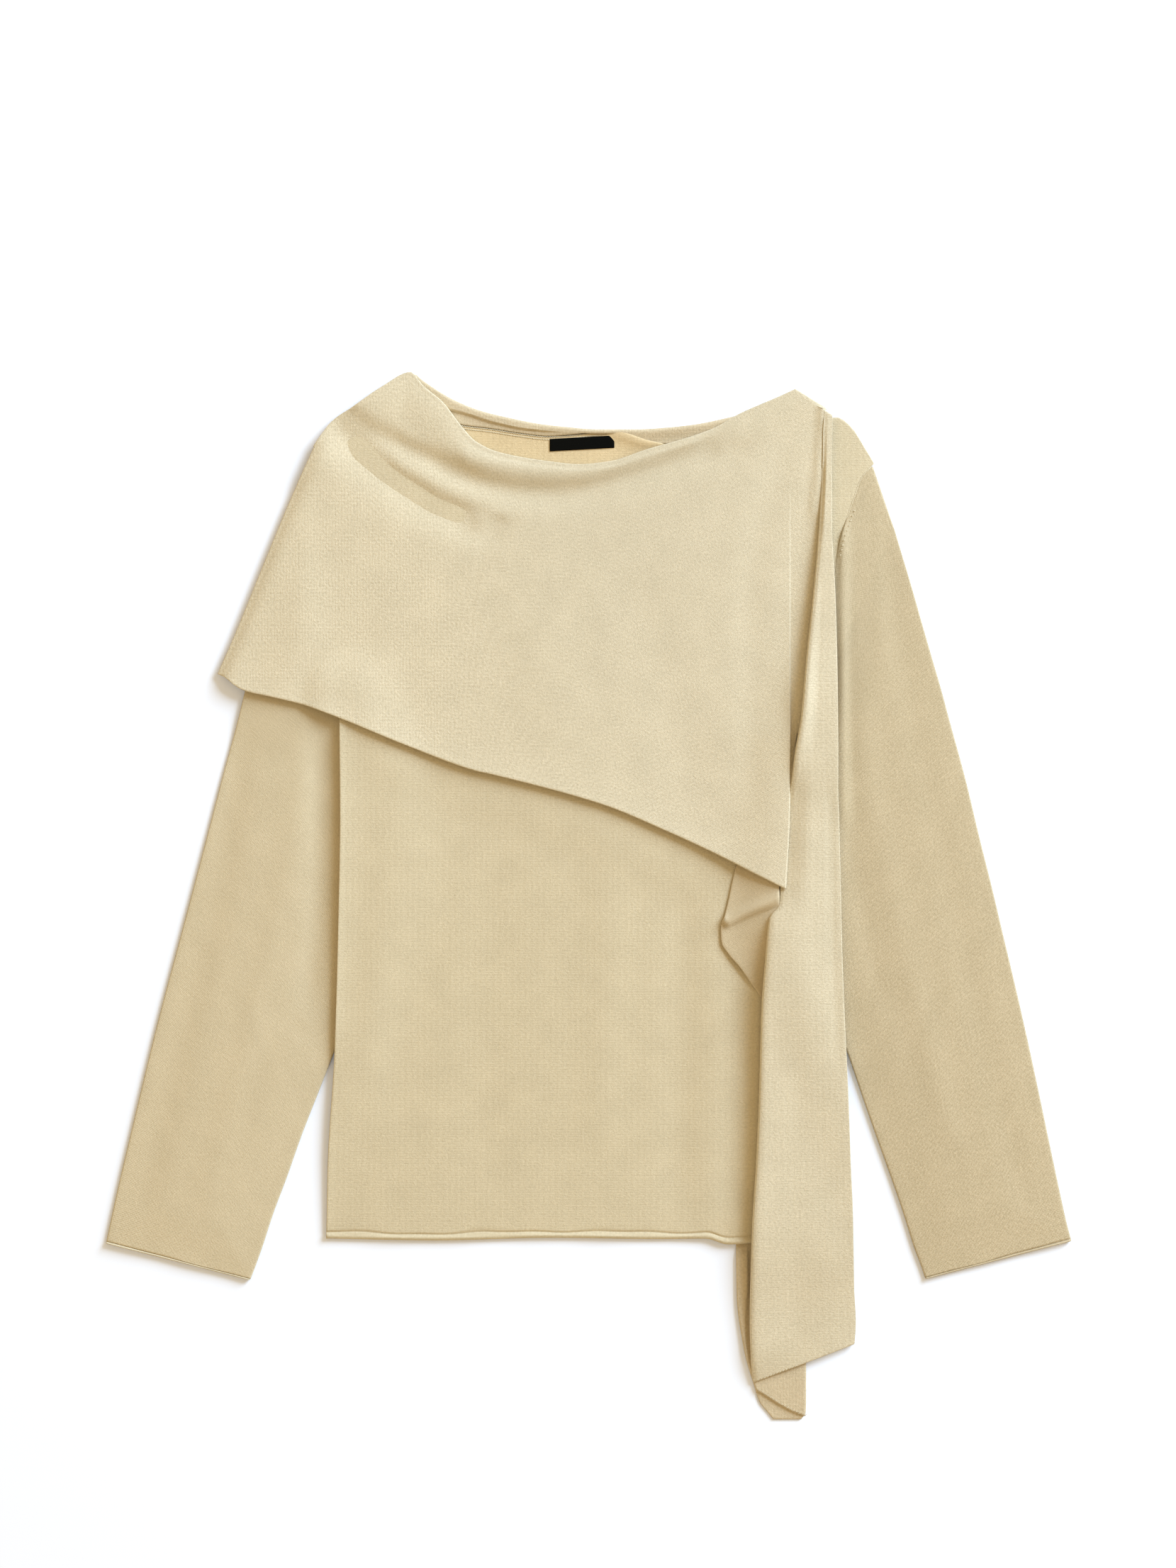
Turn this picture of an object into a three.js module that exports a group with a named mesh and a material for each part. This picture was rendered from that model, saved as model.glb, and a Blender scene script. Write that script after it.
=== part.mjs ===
// A knit sweater with a draped cape, laid flat with its front up.
// Millimetres. The sweater lies on z = 0, +X is its right as seen from above, +Y runs to the neck.
import * as THREE from "three";

// Driving sizes
const WALL = 1.3; // thickness of the jersey
const SEAM = 0.3; // gap where two pieces are sewn together
const LAP = 0.45; // air between two layers that lie on each other
const NECK_EASE = 1.8; // room along the back neck seam
const LAYER = WALL + LAP; // height of one layer and its air
const MARGIN = 9; // a layer keeps its full height this far past what it lies on
const RAMP = 46; // and comes down over this length
const UNDERARM = 205; // above this height the body isn't lifted by the sleeves
const TUCK_RAMP = 39; // and below it the lift grows over this length
const SLEEVE_FLAT = 2 * WALL + LAP; // height of a sleeve at its folded edges
const SLEEVE_CROWN = 1.6; // extra height along the middle of a sleeve
const CROWN_RAMP = 40; // how far in from its edges a sleeve has that height
const CUFF_ROLL = 0.6; // how far a rolled cuff stands above the cloth
const HEM_ROLL = 1.5; // how far a rolled edge stands above the cloth
const FOLD_HEIGHT = 2 * WALL + 0.8; // outer height of a pressed fold
const AIR = 1.7; // how far the cape stands off what it covers

const JERSEY = { color: 0xdfd0ab, roughness: 0.95, metalness: 0 };
const CAPE = { color: 0xe4d7b6, roughness: 0.95, metalness: 0 };
const WOVEN = { color: 0x14140f, roughness: 0.8, metalness: 0 };

// Sides of the body, seen flat: a row for each height
const BODY_SIDES = [
  { y: -273, left: -207, right: 203 },
  { y: -208, left: -205.5, right: 201.5 },
  { y: -119, left: -200, right: 196 },
  { y: -20, left: -197, right: 193 },
  { y: 66, left: -195.5, right: 191.5 },
  { y: 142, left: -196, right: 192 },
  { y: 190, left: -193, right: 190 },
  { y: 240, left: -194, right: 192 },
  { y: 277, left: -198, right: 196.5 },
  { y: 309, left: -206, right: 206.5 },
  { y: 320, left: -209, right: 210.5 },
  { y: 332, left: -212.5, right: 215 },
  { y: 344, left: -216, right: 226 },
];

// Top edge of the front panel: shoulder, neckline, shoulder
const FRONT_TOP = [
  { x: -216, y: 338 },
  { x: -190, y: 362 },
  { x: -165, y: 374 },
  { x: -142, y: 368 },
  { x: -115, y: 346 },
  { x: -90, y: 326 },
  { x: -60, y: 315 },
  { x: -10, y: 309 },
  { x: 30, y: 316 },
  { x: 70, y: 328 },
  { x: 105, y: 341 },
  { x: 135, y: 354 },
  { x: 160, y: 368 },
  { x: 180, y: 376 },
  { x: 196, y: 379 },
  { x: 207, y: 369.5 },
  { x: 218, y: 353.5 },
  { x: 226, y: 343 },
];

// Top edge of the back panel, which runs along the neck seam
const BACK_TOP = [
  { x: -216, y: 338 },
  { x: -190, y: 362 },
  { x: -165, y: 380 },
  { x: -140, y: 389 },
  { x: -115, y: 379 },
  { x: -99.5, y: 373.5 },
  { x: -78.5, y: 371 },
  { x: -52.5, y: 367 },
  { x: -31.5, y: 364.8 },
  { x: -13.5, y: 365.8 },
  { x: 3.5, y: 367.6 },
  { x: 20, y: 367.8 },
  { x: 60, y: 367.5 },
  { x: 100, y: 370 },
  { x: 130, y: 374 },
  { x: 160, y: 378 },
  { x: 180, y: 378 },
  { x: 196, y: 380 },
  { x: 207, y: 369.5 },
  { x: 218, y: 353.5 },
  { x: 226, y: 343 },
];

// Hem of the front panel and of the back panel
const HEM = [
  { x: -207, y: -268 },
  { x: -120, y: -269.5 },
  { x: -30, y: -267.5 },
  { x: 60, y: -268.5 },
  { x: 93, y: -268 },
  { x: 110, y: -272.5 },
  { x: 129, y: -271.5 },
  { x: 203, y: -268 },
];

// The sleeves: a row for each ring, from the armhole to the cuff.
// The inner edge is tucked under the side of the body between the underarm and the elbow.
const SLEEVE_RIGHT_RINGS = [
  { outerX: -219, outerY: 334, innerX: -194.6, innerY: 200 },
  { outerX: -236, outerY: 290, innerX: -196, innerY: 182 },
  { outerX: -249, outerY: 250, innerX: -195.4, innerY: 163 },
  { outerX: -258.5, outerY: 218, innerX: -186, innerY: 135 },
  { outerX: -265.5, outerY: 188, innerX: -175, innerY: 106 },
  { outerX: -271, outerY: 164, innerX: -166, innerY: 76 },
  { outerX: -277.5, outerY: 138, innerX: -162, innerY: 38 },
  { outerX: -290, outerY: 92, innerX: -166, innerY: -8 },
  { outerX: -301, outerY: 50, innerX: -178, innerY: -56 },
  { outerX: -311, outerY: 12, innerX: -190, innerY: -92 },
  { outerX: -320, outerY: -22, innerX: -201, innerY: -122 },
  { outerX: -331, outerY: -63, innerX: -213.5, innerY: -154 },
  { outerX: -342, outerY: -105, innerX: -226, innerY: -186 },
  { outerX: -352, outerY: -146, innerX: -238, innerY: -220 },
  { outerX: -362, outerY: -188, innerX: -248.5, innerY: -248 },
  { outerX: -371, outerY: -226, innerX: -257, innerY: -274 },
  { outerX: -378.5, outerY: -260, innerX: -263.5, innerY: -292 },
  { outerX: -381, outerY: -272, innerX: -267, innerY: -301 },
];
const SLEEVE_LEFT_RINGS = [
  { outerX: 227.6, outerY: 342, innerX: 192.2, innerY: 200 },
  { outerX: 242, outerY: 291, innerX: 192.8, innerY: 182 },
  { outerX: 254, outerY: 251, innerX: 192.2, innerY: 163 },
  { outerX: 264, outerY: 216, innerX: 184, innerY: 135 },
  { outerX: 271.5, outerY: 190, innerX: 173, innerY: 106 },
  { outerX: 278.5, outerY: 166, innerX: 164.5, innerY: 76 },
  { outerX: 285.5, outerY: 140, innerX: 162, innerY: 38 },
  { outerX: 298, outerY: 94, innerX: 167, innerY: -8 },
  { outerX: 309, outerY: 48, innerX: 179.5, innerY: -56 },
  { outerX: 318.5, outerY: 10, innerX: 192.5, innerY: -92 },
  { outerX: 327, outerY: -26, innerX: 204.5, innerY: -122 },
  { outerX: 337, outerY: -68, innerX: 215.5, innerY: -154 },
  { outerX: 347, outerY: -112, innerX: 227, innerY: -187 },
  { outerX: 356, outerY: -154, innerX: 238.5, innerY: -219 },
  { outerX: 365, outerY: -197, innerX: 248.5, innerY: -248 },
  { outerX: 372, outerY: -230, innerX: 257, innerY: -275 },
  { outerX: 378, outerY: -257, innerX: 263, innerY: -291 },
  { outerX: 381.5, outerY: -270, innerX: 266, innerY: -300 },
];

// The fold that closes the cape on its left
const CAPE_LEFT = [
  { y: 357, x: -217 },
  { y: 318, x: -234.5 },
  { y: 262, x: -257.5 },
  { y: 206, x: -280 },
  { y: 177.5, x: -292.5 },
];

// Top of the front cape: left shoulder, the fold across the neck, right shoulder
const CAPE_TOP = [
  { x: -217, y: 357 },
  { x: -201.5, y: 377.5 },
  { x: -185, y: 388.5 },
  { x: -162.5, y: 404 },
  { x: -140, y: 415.5 },
  { x: -130.5, y: 405 },
  { x: -114, y: 391 },
  { x: -101, y: 374 },
  { x: -88.5, y: 360.5 },
  { x: -70, y: 352 },
  { x: -31.5, y: 345 },
  { x: -7, y: 342.5 },
  { x: 17, y: 345 },
  { x: 46.5, y: 354.5 },
  { x: 76.5, y: 363 },
  { x: 98.5, y: 371 },
  { x: 120, y: 383 },
  { x: 150, y: 396 },
  { x: 163, y: 402 },
];

// Lower edge of the front cape
const CAPE_LOWER = [
  { x: -292.5, y: 177.5 },
  { x: -286, y: 174.5 },
  { x: -279.5, y: 169 },
  { x: -270.5, y: 164 },
  { x: -249, y: 159 },
  { x: -224.5, y: 153 },
  { x: -197, y: 143 },
  { x: -144.5, y: 121.5 },
  { x: -90.5, y: 101.5 },
  { x: -73, y: 97.5 },
  { x: 11, y: 74.5 },
  { x: 60.5, y: 54 },
  { x: 102, y: 34.5 },
  { x: 130.5, y: 20 },
  { x: 154, y: 8.5 },
];

// The upright fold at the right of the front cape: where it turns down, where the cloth ends under
// the tail, how high its crest stands, and how far the end lies below the crest
const CAPE_RIGHT = [
  { y: 402, crest: 163, end: 188, endY: 386.5, rise: 0, drop: 0 },
  { y: 340, crest: 160, end: 189, endY: 336, rise: 0.6, drop: 0.6 },
  { y: 296, crest: 158.5, end: 189, endY: 294, rise: 2.2, drop: 2.2 },
  { y: 240, crest: 158.5, end: 190, endY: 239, rise: 3.6, drop: 3.6 },
  { y: 170, crest: 158.5, end: 189, endY: 170, rise: 4, drop: 4 },
  { y: 142, crest: 158.5, end: 176, endY: 142, rise: 4, drop: 4 },
  { y: 128, crest: 158.4, end: 164, endY: 128, rise: 4, drop: 4 },
  { y: 116, crest: 158.3, end: 163, endY: 116, rise: 4, drop: 4 },
  { y: 104, crest: 158, end: 161.2, endY: 104, rise: 4, drop: 3.4 },
  { y: 92, crest: 157.8, end: 159.6, endY: 92, rise: 4, drop: 2.4 },
  { y: 80, crest: 157.5, end: 158.7, endY: 80, rise: 4, drop: 1.6 },
  { y: 60, crest: 157, end: 158.2, endY: 60, rise: 4, drop: 1 },
  { y: 8.5, crest: 154, end: 155.2, endY: 8, rise: 4, drop: 1 },
];

// Soft troughs and ridges of the front cape: a row for each fold, with its line, its half width and
// its depth, which is below zero in a trough
const CAPE_FOLDS = [
  { line: [[-186, 385], [-147, 367], [-113, 349.5], [-89, 342.5], [-44, 332], [0, 333], [59, 346], [90, 356]],
    width: 5, depth: -1.4 },
  { line: [[-192, 365], [-161, 339.5], [-128, 323], [-70, 313], [-17, 318]], width: 8, depth: -1.2 },
  { line: [[-191, 371], [-166, 356], [-137, 341.5], [-98, 329]], width: 6, depth: 0.9 },
  { line: [[168, 378], [147, 315], [135.5, 262], [134.5, 160], [134.5, 66]], width: 9, depth: -1.5 },
  { line: [[-228, 300], [-216, 240], [-214, 190]], width: 16, depth: 0.8 },
  { line: [[40, 290], [70, 200], [92, 90]], width: 22, depth: -0.7 },
];

// Edges of the front tail, the height of its fold and the width turned under it
const TAIL_ROWS = [
  { y: 386, left: 186.5, right: 192, fold: 3.4, under: 2 },
  { y: 371, left: 185.5, right: 192, fold: 4.4, under: 3 },
  { y: 345, left: 185, right: 191.5, fold: 5.4, under: 3 },
  { y: 296, left: 182.5, right: 191.5, fold: 6.4, under: 4 },
  { y: 239, left: 177.5, right: 194, fold: 7.2, under: 6 },
  { y: 189, left: 172, right: 195.3, fold: 7.4, under: 8 },
  { y: 142, left: 172, right: 195.8, fold: 7.2, under: 12 },
  { y: 116, left: 166, right: 196, fold: 6.9, under: 16 },
  { y: 92, left: 162, right: 196, fold: 6.5, under: 20 },
  { y: 60, left: 155.5, right: 197, fold: 6.1, under: 24 },
  { y: 20, left: 152, right: 198, fold: 5.8, under: 26 },
  { y: -4, left: 150.5, right: 198.5, fold: 5.4, under: 28 },
  { y: -14, left: 143, right: 198.7, fold: 5.4, under: 28 },
  { y: -45, left: 140, right: 199.5, fold: 5.4, under: 30 },
  { y: -85, left: 137, right: 201, fold: 5.2, under: 32 },
  { y: -158, left: 135, right: 204.5, fold: 5, under: 34 },
  { y: -212, left: 132.5, right: 206.5, fold: 4.8, under: 34 },
  { y: -247, left: 130, right: 208, fold: 4.8, under: 34 },
  { y: -272, left: 129, right: 208.5, fold: 4.6, under: 34 },
  { y: -319, left: 128, right: 209.5, fold: 4.4, under: 34 },
  { y: -349, left: 129, right: 211, fold: 4.2, under: 32 },
  { y: -366, left: 131, right: 210, fold: 4, under: 30 },
];
const TAIL_SLANT = 15; // how far the lower edge of the tail falls to its left, and rises to its right

// The lobe in which the cape's lower edge falls, and the rolled edge that crosses it
const LOBE_ROWS = [
  { y: 34, left: 121, right: 149, roll: 0 },
  { y: 26, left: 116.5, right: 150, roll: 0 },
  { y: 12, left: 113, right: 150, roll: 0.2 },
  { y: 0, left: 110.5, right: 150, roll: 0.7 },
  { y: -12, left: 107.5, right: 150, roll: 1 },
  { y: -19, left: 105, right: 150, roll: 1 },
  { y: -23, left: 104.2, right: 150, roll: 0 },
  { y: -34, left: 104.8, right: 150, roll: 0 },
  { y: -43, left: 110, right: 150, roll: 0 },
  { y: -54, left: 119.5, right: 150, roll: 0 },
  { y: -66, left: 128, right: 151, roll: 0 },
  { y: -80, left: 138, right: 152, roll: 0 },
];
const LOBE_SLANT = 20; // how far its rows rise from left to right
const LOBE_STEP = 2.4; // height of the rolled edge above the cloth below it

// Back half of the cape: neck edge, left fold, lower edge and the tail that shows below the hem
const NECK_BACK = [
  { x: -217, y: 357 },
  { x: -201.5, y: 377.5 },
  { x: -185, y: 388.5 },
  { x: -162.5, y: 404 },
  { x: -140, y: 415.5 },
  { x: -129, y: 408 },
  { x: -106.5, y: 394 },
  { x: -84, y: 385 },
  { x: -61.5, y: 379.5 },
  { x: -39, y: 375 },
  { x: -17, y: 372.5 },
  { x: 5.5, y: 370.7 },
  { x: 39, y: 370.7 },
  { x: 61.5, y: 372 },
  { x: 84, y: 374.5 },
  { x: 106.5, y: 379 },
  { x: 129, y: 385 },
  { x: 151, y: 395.5 },
  { x: 162.5, y: 401.5 },
  { x: 173.5, y: 396 },
  { x: 184, y: 388 },
];

// Left and right edge of that back half, as far down as its tail
const BACK_SIDES = [
  { y: 357, left: -216.6, right: 184 },
  { y: 318, left: -234, right: 184 },
  { y: 262, left: -257, right: 184 },
  { y: 206, left: -279.5, right: 172 },
  { y: 180, left: -290, right: 165 },
  { y: 170, left: -262, right: 162 },
  { y: 150, left: -190, right: 158 },
  { y: 110, left: -80, right: 154 },
  { y: 70, left: 20, right: 152 },
  { y: 30, left: 100, right: 150 },
  { y: 0, left: 113, right: 150 },
  { y: -120, left: 115, right: 156 },
  { y: -272, left: 116.5, right: 172 },
  { y: -312, left: 117, right: 172 },
  { y: -355, left: 122.6, right: 172 },
  { y: -385, left: 131, right: 172 },
  { y: -397, left: 135, right: 172 },
  { y: -406, left: 142, right: 171.5 },
  { y: -411, left: 146, right: 168 },
];
const FOLD_LIP = 3; // width of the thick edge along the cape's left fold
const TAIL_LIP = 8; // width of the flap folded over along the back tail

const { sin, cos, PI, min, max, abs, hypot, exp } = Math;
const clamp = (t) => min(1, max(0, t));
const smooth = (t) => clamp(t) ** 2 * (3 - 2 * clamp(t));
const mix = (a, b, t) => a + (b - a) * t;
const steps = (n) => Array.from({ length: n + 1 }, (_, i) => i / n);
const ends = (rows, key) => [rows[0][key], rows.at(-1)[key]];

// A smooth curve through one column of a table against another, with no overshoot
function curve(rows, from, to) {
  const sorted = [...rows].sort((a, b) => a[from] - b[from]);
  const xs = sorted.map((row) => row[from]);
  const ys = sorted.map((row) => row[to]);
  const slopes = xs.slice(1).map((x, i) => (ys[i + 1] - ys[i]) / (x - xs[i]));
  const tangents = xs.map((_, i) => {
    if (i === 0) return slopes[0];
    if (i === xs.length - 1) return slopes[i - 1];
    const [a, b] = [slopes[i - 1], slopes[i]];
    return a * b <= 0 ? 0 : (2 * a * b) / (a + b);
  });
  return (x) => {
    if (x <= xs[0]) return ys[0];
    if (x >= xs.at(-1)) return ys.at(-1);
    const i = xs.findIndex((next) => next > x) - 1;
    const width = xs[i + 1] - xs[i];
    const t = (x - xs[i]) / width;
    const near = (1 + 2 * t) * (1 - t) ** 2 * ys[i] + t * (1 - t) ** 2 * width * tangents[i];
    const far = t * t * (3 - 2 * t) * ys[i + 1] + t * t * (t - 1) * width * tangents[i + 1];
    return near + far;
  };
}

// Distance from a point to a line of points
function distanceTo(line, x, y) {
  let best = Infinity;
  for (let i = 1; i < line.length; i += 1) {
    const [ax, ay] = line[i - 1];
    const [bx, by] = line[i];
    const [dx, dy] = [bx - ax, by - ay];
    const t = clamp(((x - ax) * dx + (y - ay) * dy) / (dx * dx + dy * dy));
    best = min(best, hypot(x - ax - t * dx, y - ay - t * dy));
  }
  return best;
}

// Distance outside a closed outline, below zero inside it
function outside(outline, x, y) {
  let inside = false;
  outline.forEach(([bx, by], i) => {
    const [ax, ay] = outline.at(i - 1);
    if (ay > y !== by > y && x < ax + ((y - ay) / (by - ay)) * (bx - ax)) inside = !inside;
  });
  const distance = distanceTo([outline.at(-1), ...outline], x, y);
  return inside ? -distance : distance;
}

// 1 over an outline, coming down to 0 around it
const cover = (outline, x, y) => 1 - smooth((outside(outline, x, y) - MARGIN) / RAMP);

// A closed body between two grids of points that face each other
function wallBetween(outer, inner) {
  const rows = outer.length;
  const columns = outer[0].length;
  const points = [...outer.flat(), ...inner.flat()];
  const at = (side, i, j) => side * rows * columns + i * columns + j;
  const faces = [];
  const quad = (a, b, c, d) => faces.push(a, b, c, a, c, d);
  for (let i = 0; i < rows - 1; i += 1) {
    for (let j = 0; j < columns - 1; j += 1) {
      quad(at(0, i, j), at(0, i, j + 1), at(0, i + 1, j + 1), at(0, i + 1, j));
      quad(at(1, i, j), at(1, i + 1, j), at(1, i + 1, j + 1), at(1, i, j + 1));
    }
    quad(at(0, i, 0), at(0, i + 1, 0), at(1, i + 1, 0), at(1, i, 0));
    quad(at(0, i, columns - 1), at(1, i, columns - 1), at(1, i + 1, columns - 1), at(0, i + 1, columns - 1));
  }
  for (let j = 0; j < columns - 1; j += 1) {
    quad(at(0, 0, j), at(1, 0, j), at(1, 0, j + 1), at(0, 0, j + 1));
    quad(at(0, rows - 1, j), at(0, rows - 1, j + 1), at(1, rows - 1, j + 1), at(1, rows - 1, j));
  }
  return { points, faces };
}

// A closed tube wall between outer and inner rings, open at both ends of the tube
function tubeBetween(outer, inner) {
  const rings = outer.length;
  const size = outer[0].length;
  const points = [...outer.flat(), ...inner.flat()];
  const at = (side, i, j) => side * rings * size + i * size + (j % size);
  const faces = [];
  const quad = (a, b, c, d) => faces.push(a, b, c, a, c, d);
  for (let j = 0; j < size; j += 1) {
    for (let i = 0; i < rings - 1; i += 1) {
      quad(at(0, i, j), at(0, i, j + 1), at(0, i + 1, j + 1), at(0, i + 1, j));
      quad(at(1, i, j), at(1, i + 1, j), at(1, i + 1, j + 1), at(1, i, j + 1));
    }
    quad(at(0, 0, j), at(1, 0, j), at(1, 0, j + 1), at(0, 0, j + 1));
    quad(at(0, rings - 1, j), at(0, rings - 1, j + 1), at(1, rings - 1, j + 1), at(1, rings - 1, j));
  }
  return { points, faces };
}

// A mesh of a closed body, with its faces turned out
function solid(name, { points, faces }, look) {
  let volume = 0;
  for (let i = 0; i < faces.length; i += 3) {
    const [a, b, c] = [0, 1, 2].map((k) => new THREE.Vector3(...points[faces[i + k]]));
    volume += a.dot(b.cross(c));
  }
  const turned = volume > 0 ? faces : faces.toReversed();
  const geometry = new THREE.BufferGeometry();
  geometry.setAttribute("position", new THREE.Float32BufferAttribute(points.flat(), 3));
  geometry.setIndex(turned);
  geometry.computeVertexNormals();
  const mesh = new THREE.Mesh(geometry, new THREE.MeshStandardMaterial(look));
  mesh.name = name;
  return mesh;
}

// The outlines that other layers lie on
const fromSides = (sides) => [
  ...sides.map((row) => [row.left, row.y]),
  ...[...sides].reverse().map((row) => [row.right, row.y]),
];
const fromRings = (rings) => [
  ...rings.map((ring) => [ring.outerX, ring.outerY]),
  ...[...rings].reverse().map((ring) => [ring.innerX, ring.innerY]),
];
const backOutline = [
  ...[...BACK_SIDES].reverse().map((row) => [row.left, row.y]),
  ...NECK_BACK.map((row) => [row.x, row.y]),
  ...BACK_SIDES.map((row) => [row.right, row.y]),
];
const frontOutline = [
  ...HEM.map((row) => [row.x, row.y]),
  ...BODY_SIDES.filter((row) => row.y > -260 && row.y < 340).map((row) => [row.right, row.y]),
  ...[...FRONT_TOP].reverse().map((row) => [row.x, row.y]),
  ...BODY_SIDES.filter((row) => row.y > -260 && row.y < 338)
    .reverse()
    .map((row) => [row.left, row.y]),
];
const sleeveOutlines = [fromRings(SLEEVE_RIGHT_RINGS), fromRings(SLEEVE_LEFT_RINGS)];
const lobeOutline = fromSides(LOBE_ROWS);

// Height of what each layer lies on
const ground = (x, y) => LAYER * cover(backOutline, x, y);
const crown = (outline, x, y) => SLEEVE_CROWN * smooth(-outside(outline, x, y) / CROWN_RAMP);
const overSleeve = (x, y) =>
  max(...sleeveOutlines.map((outline) =>
    cover(outline, x, y) * (SLEEVE_FLAT + LAP + crown(outline, x, y))));
const tuck = (x, y) => overSleeve(x, y) * smooth((UNDERARM - y) / TUCK_RAMP);
const bodyBase = (x, y) => ground(x, y) + tuck(x, y);
const frontBase = (x, y) => bodyBase(x, y) + LAYER;
const overBody = (x, y) => tuck(x, y) + 2 * LAYER;
const sleeveTop = (outline, x, y) => ground(x, y) + SLEEVE_FLAT + crown(outline, x, y);
const capeBase = (x, y) =>
  ground(x, y) + max(cover(frontOutline, x, y) * overBody(x, y), overSleeve(x, y));

// Body panels: columns from the hem up to the top edge, rows closer where the base rises
const PANEL_COLUMNS = [0, 0.03, 0.09, 0.16, 0.24, 0.33, 0.43, 0.53, 0.62, 0.7, 0.77, 0.83, 0.88, 0.925,
  0.96, 0.985, 1];
const PANEL_ROWS = [0, 0.006, 0.012, 0.06, 0.12, 0.19, 0.27, 0.35, 0.43, 0.5, 0.56, 0.61, 0.65, 0.69, 0.73,
  0.77, 0.82, 0.87, 0.92, 0.96, 0.985, 1];
const leftSide = curve(BODY_SIDES, "y", "left");
const rightSide = curve(BODY_SIDES, "y", "right");
const hem = curve(HEM, "x", "y");
const frontTop = curve(FRONT_TOP, "x", "y");
const CHEST = 0.65; // up to here both panels have the same rows
const HEM_ROW = PANEL_ROWS[1]; // the row that stands up as the rolled hem

function panelPoint(topEdge, u, v) {
  const topX = mix(...ends(FRONT_TOP, "x"), u);
  const hemY = hem(mix(...ends(HEM, "x"), u));
  const chestY = mix(hemY, frontTop(topX), CHEST);
  const y = v < CHEST
    ? mix(hemY, frontTop(topX), v)
    : mix(chestY, topEdge(topX), (v - CHEST) / (1 - CHEST));
  return [mix(leftSide(y), rightSide(y), u), y];
}

function bodyPanel(name, top, base, roll) {
  const topEdge = curve(top, "x", "y");
  const grid = (height) =>
    PANEL_ROWS.map((v) => PANEL_COLUMNS.map((u) => {
      const [x, y] = panelPoint(topEdge, u, v);
      return [x, y, height(x, y, v)];
    }));
  const lower = grid(base);
  const upper = grid((x, y, v) => base(x, y) + WALL + (v === HEM_ROW ? roll : 0));
  return solid(name, wallBetween(upper, lower), JERSEY);
}

// Sleeves: flat tubes, a ring for each row of their table
const ACROSS = [0, 0.07, 0.18, 0.32, 0.5, 0.68, 0.82, 0.93, 1];
const SEWN_IN = [1, 0.35]; // how much the first rings follow the armhole
const ARMHOLE_EASE = 1.5; // room along the armhole seam, where both edges curve
const SIDE_SHARE = 0.3; // share of a ring's width over which its wall is moved in from each edge
function sleeve(name, rings, outline, side) {
  const last = rings.length - 1;
  const centre = rings.map((row) => [(row.outerX + row.innerX) / 2, (row.outerY + row.innerY) / 2]);
  const inward = (index, xKey, yKey) => {
    const [before, after] = [rings[max(0, index - 1)], rings[min(last, index + 1)]];
    const [dx, dy] = [after[xKey] - before[xKey], after[yKey] - before[yKey]];
    const [nx, ny] = [-dy / hypot(dx, dy), dx / hypot(dx, dy)];
    const row = rings[index];
    const facing = Math.sign((centre[index][0] - row[xKey]) * nx + (centre[index][1] - row[yKey]) * ny);
    return [nx * facing, ny * facing];
  };
  const ring = (row, inset, index) => {
    const [fromOuter, fromInner] = [inward(index, "outerX", "outerY"), inward(index, "innerX", "innerY")];
    const place = (t) => {
      const [x, y] = [mix(row.outerX, row.innerX, t), mix(row.outerY, row.innerY, t)];
      const straight = index === 0 ? x - ARMHOLE_EASE * Math.sign(x) : mix(side(row.outerY), side(row.innerY), t);
      const bow = side(y) - straight;
      const near = inset * (1 - smooth(t / SIDE_SHARE));
      const far = inset * (1 - smooth((1 - t) / SIDE_SHARE));
      return [
        x + bow * (SEWN_IN[index] ?? 0) + near * fromOuter[0] + far * fromInner[0],
        y + near * fromOuter[1] + far * fromInner[1],
      ];
    };
    const extra = index === last && inset === 0 ? CUFF_ROLL : 0;
    const over = ACROSS.map((u) => {
      const [x, y] = place(u);
      return [x, y, sleeveTop(outline, x, y) - inset + extra];
    });
    const under = [...ACROSS].reverse().map((u) => {
      const [x, y] = place(u);
      return [x, y, ground(x, y) + inset];
    });
    return [...over, ...under];
  };
  const outer = rings.map((row, i) => ring(row, 0, i));
  const inner = rings.map((row, i) => ring(row, WALL, i));
  return solid(name, tubeBetween(outer, inner), JERSEY);
}

// Rows of a fold that rolls under an edge: from the outside of one layer round to the outside of the
// other, then on to its end. Each row gives how far in from the edge it lies and the two heights.
const TURN = [0.25, 0.5, 0.75, 1].map((t) => t * PI);
function rollRows(from, to, depth) {
  const radius = abs(to - from) / 2;
  const middle = (from + to) / 2;
  const side = Math.sign(to - from);
  const turned = TURN.map((angle) => ({
    outer: [radius - radius * sin(angle), middle - side * radius * cos(angle)],
    inner: [radius - (radius - WALL) * sin(angle), middle - side * (radius - WALL) * cos(angle)],
  }));
  const flat = [0.5, 1].map((t) => {
    const along = mix(radius, max(depth, radius + 1), t);
    return { outer: [along, to], inner: [along, to - side * WALL] };
  });
  return [...turned, ...flat];
}

// A point in from an edge: across the edge for the fold, then straight down the panel
const NEAR = 2; // how far to each side the slope of an edge is read
function inFrom(edge, x, distance, radius) {
  const slope = (edge(x + NEAR) - edge(x - NEAR)) / (2 * NEAR);
  const length = hypot(slope, 1);
  const across = min(distance, radius);
  return [x + (slope / length) * across, edge(x) - across / length - max(0, distance - radius)];
}

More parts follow.
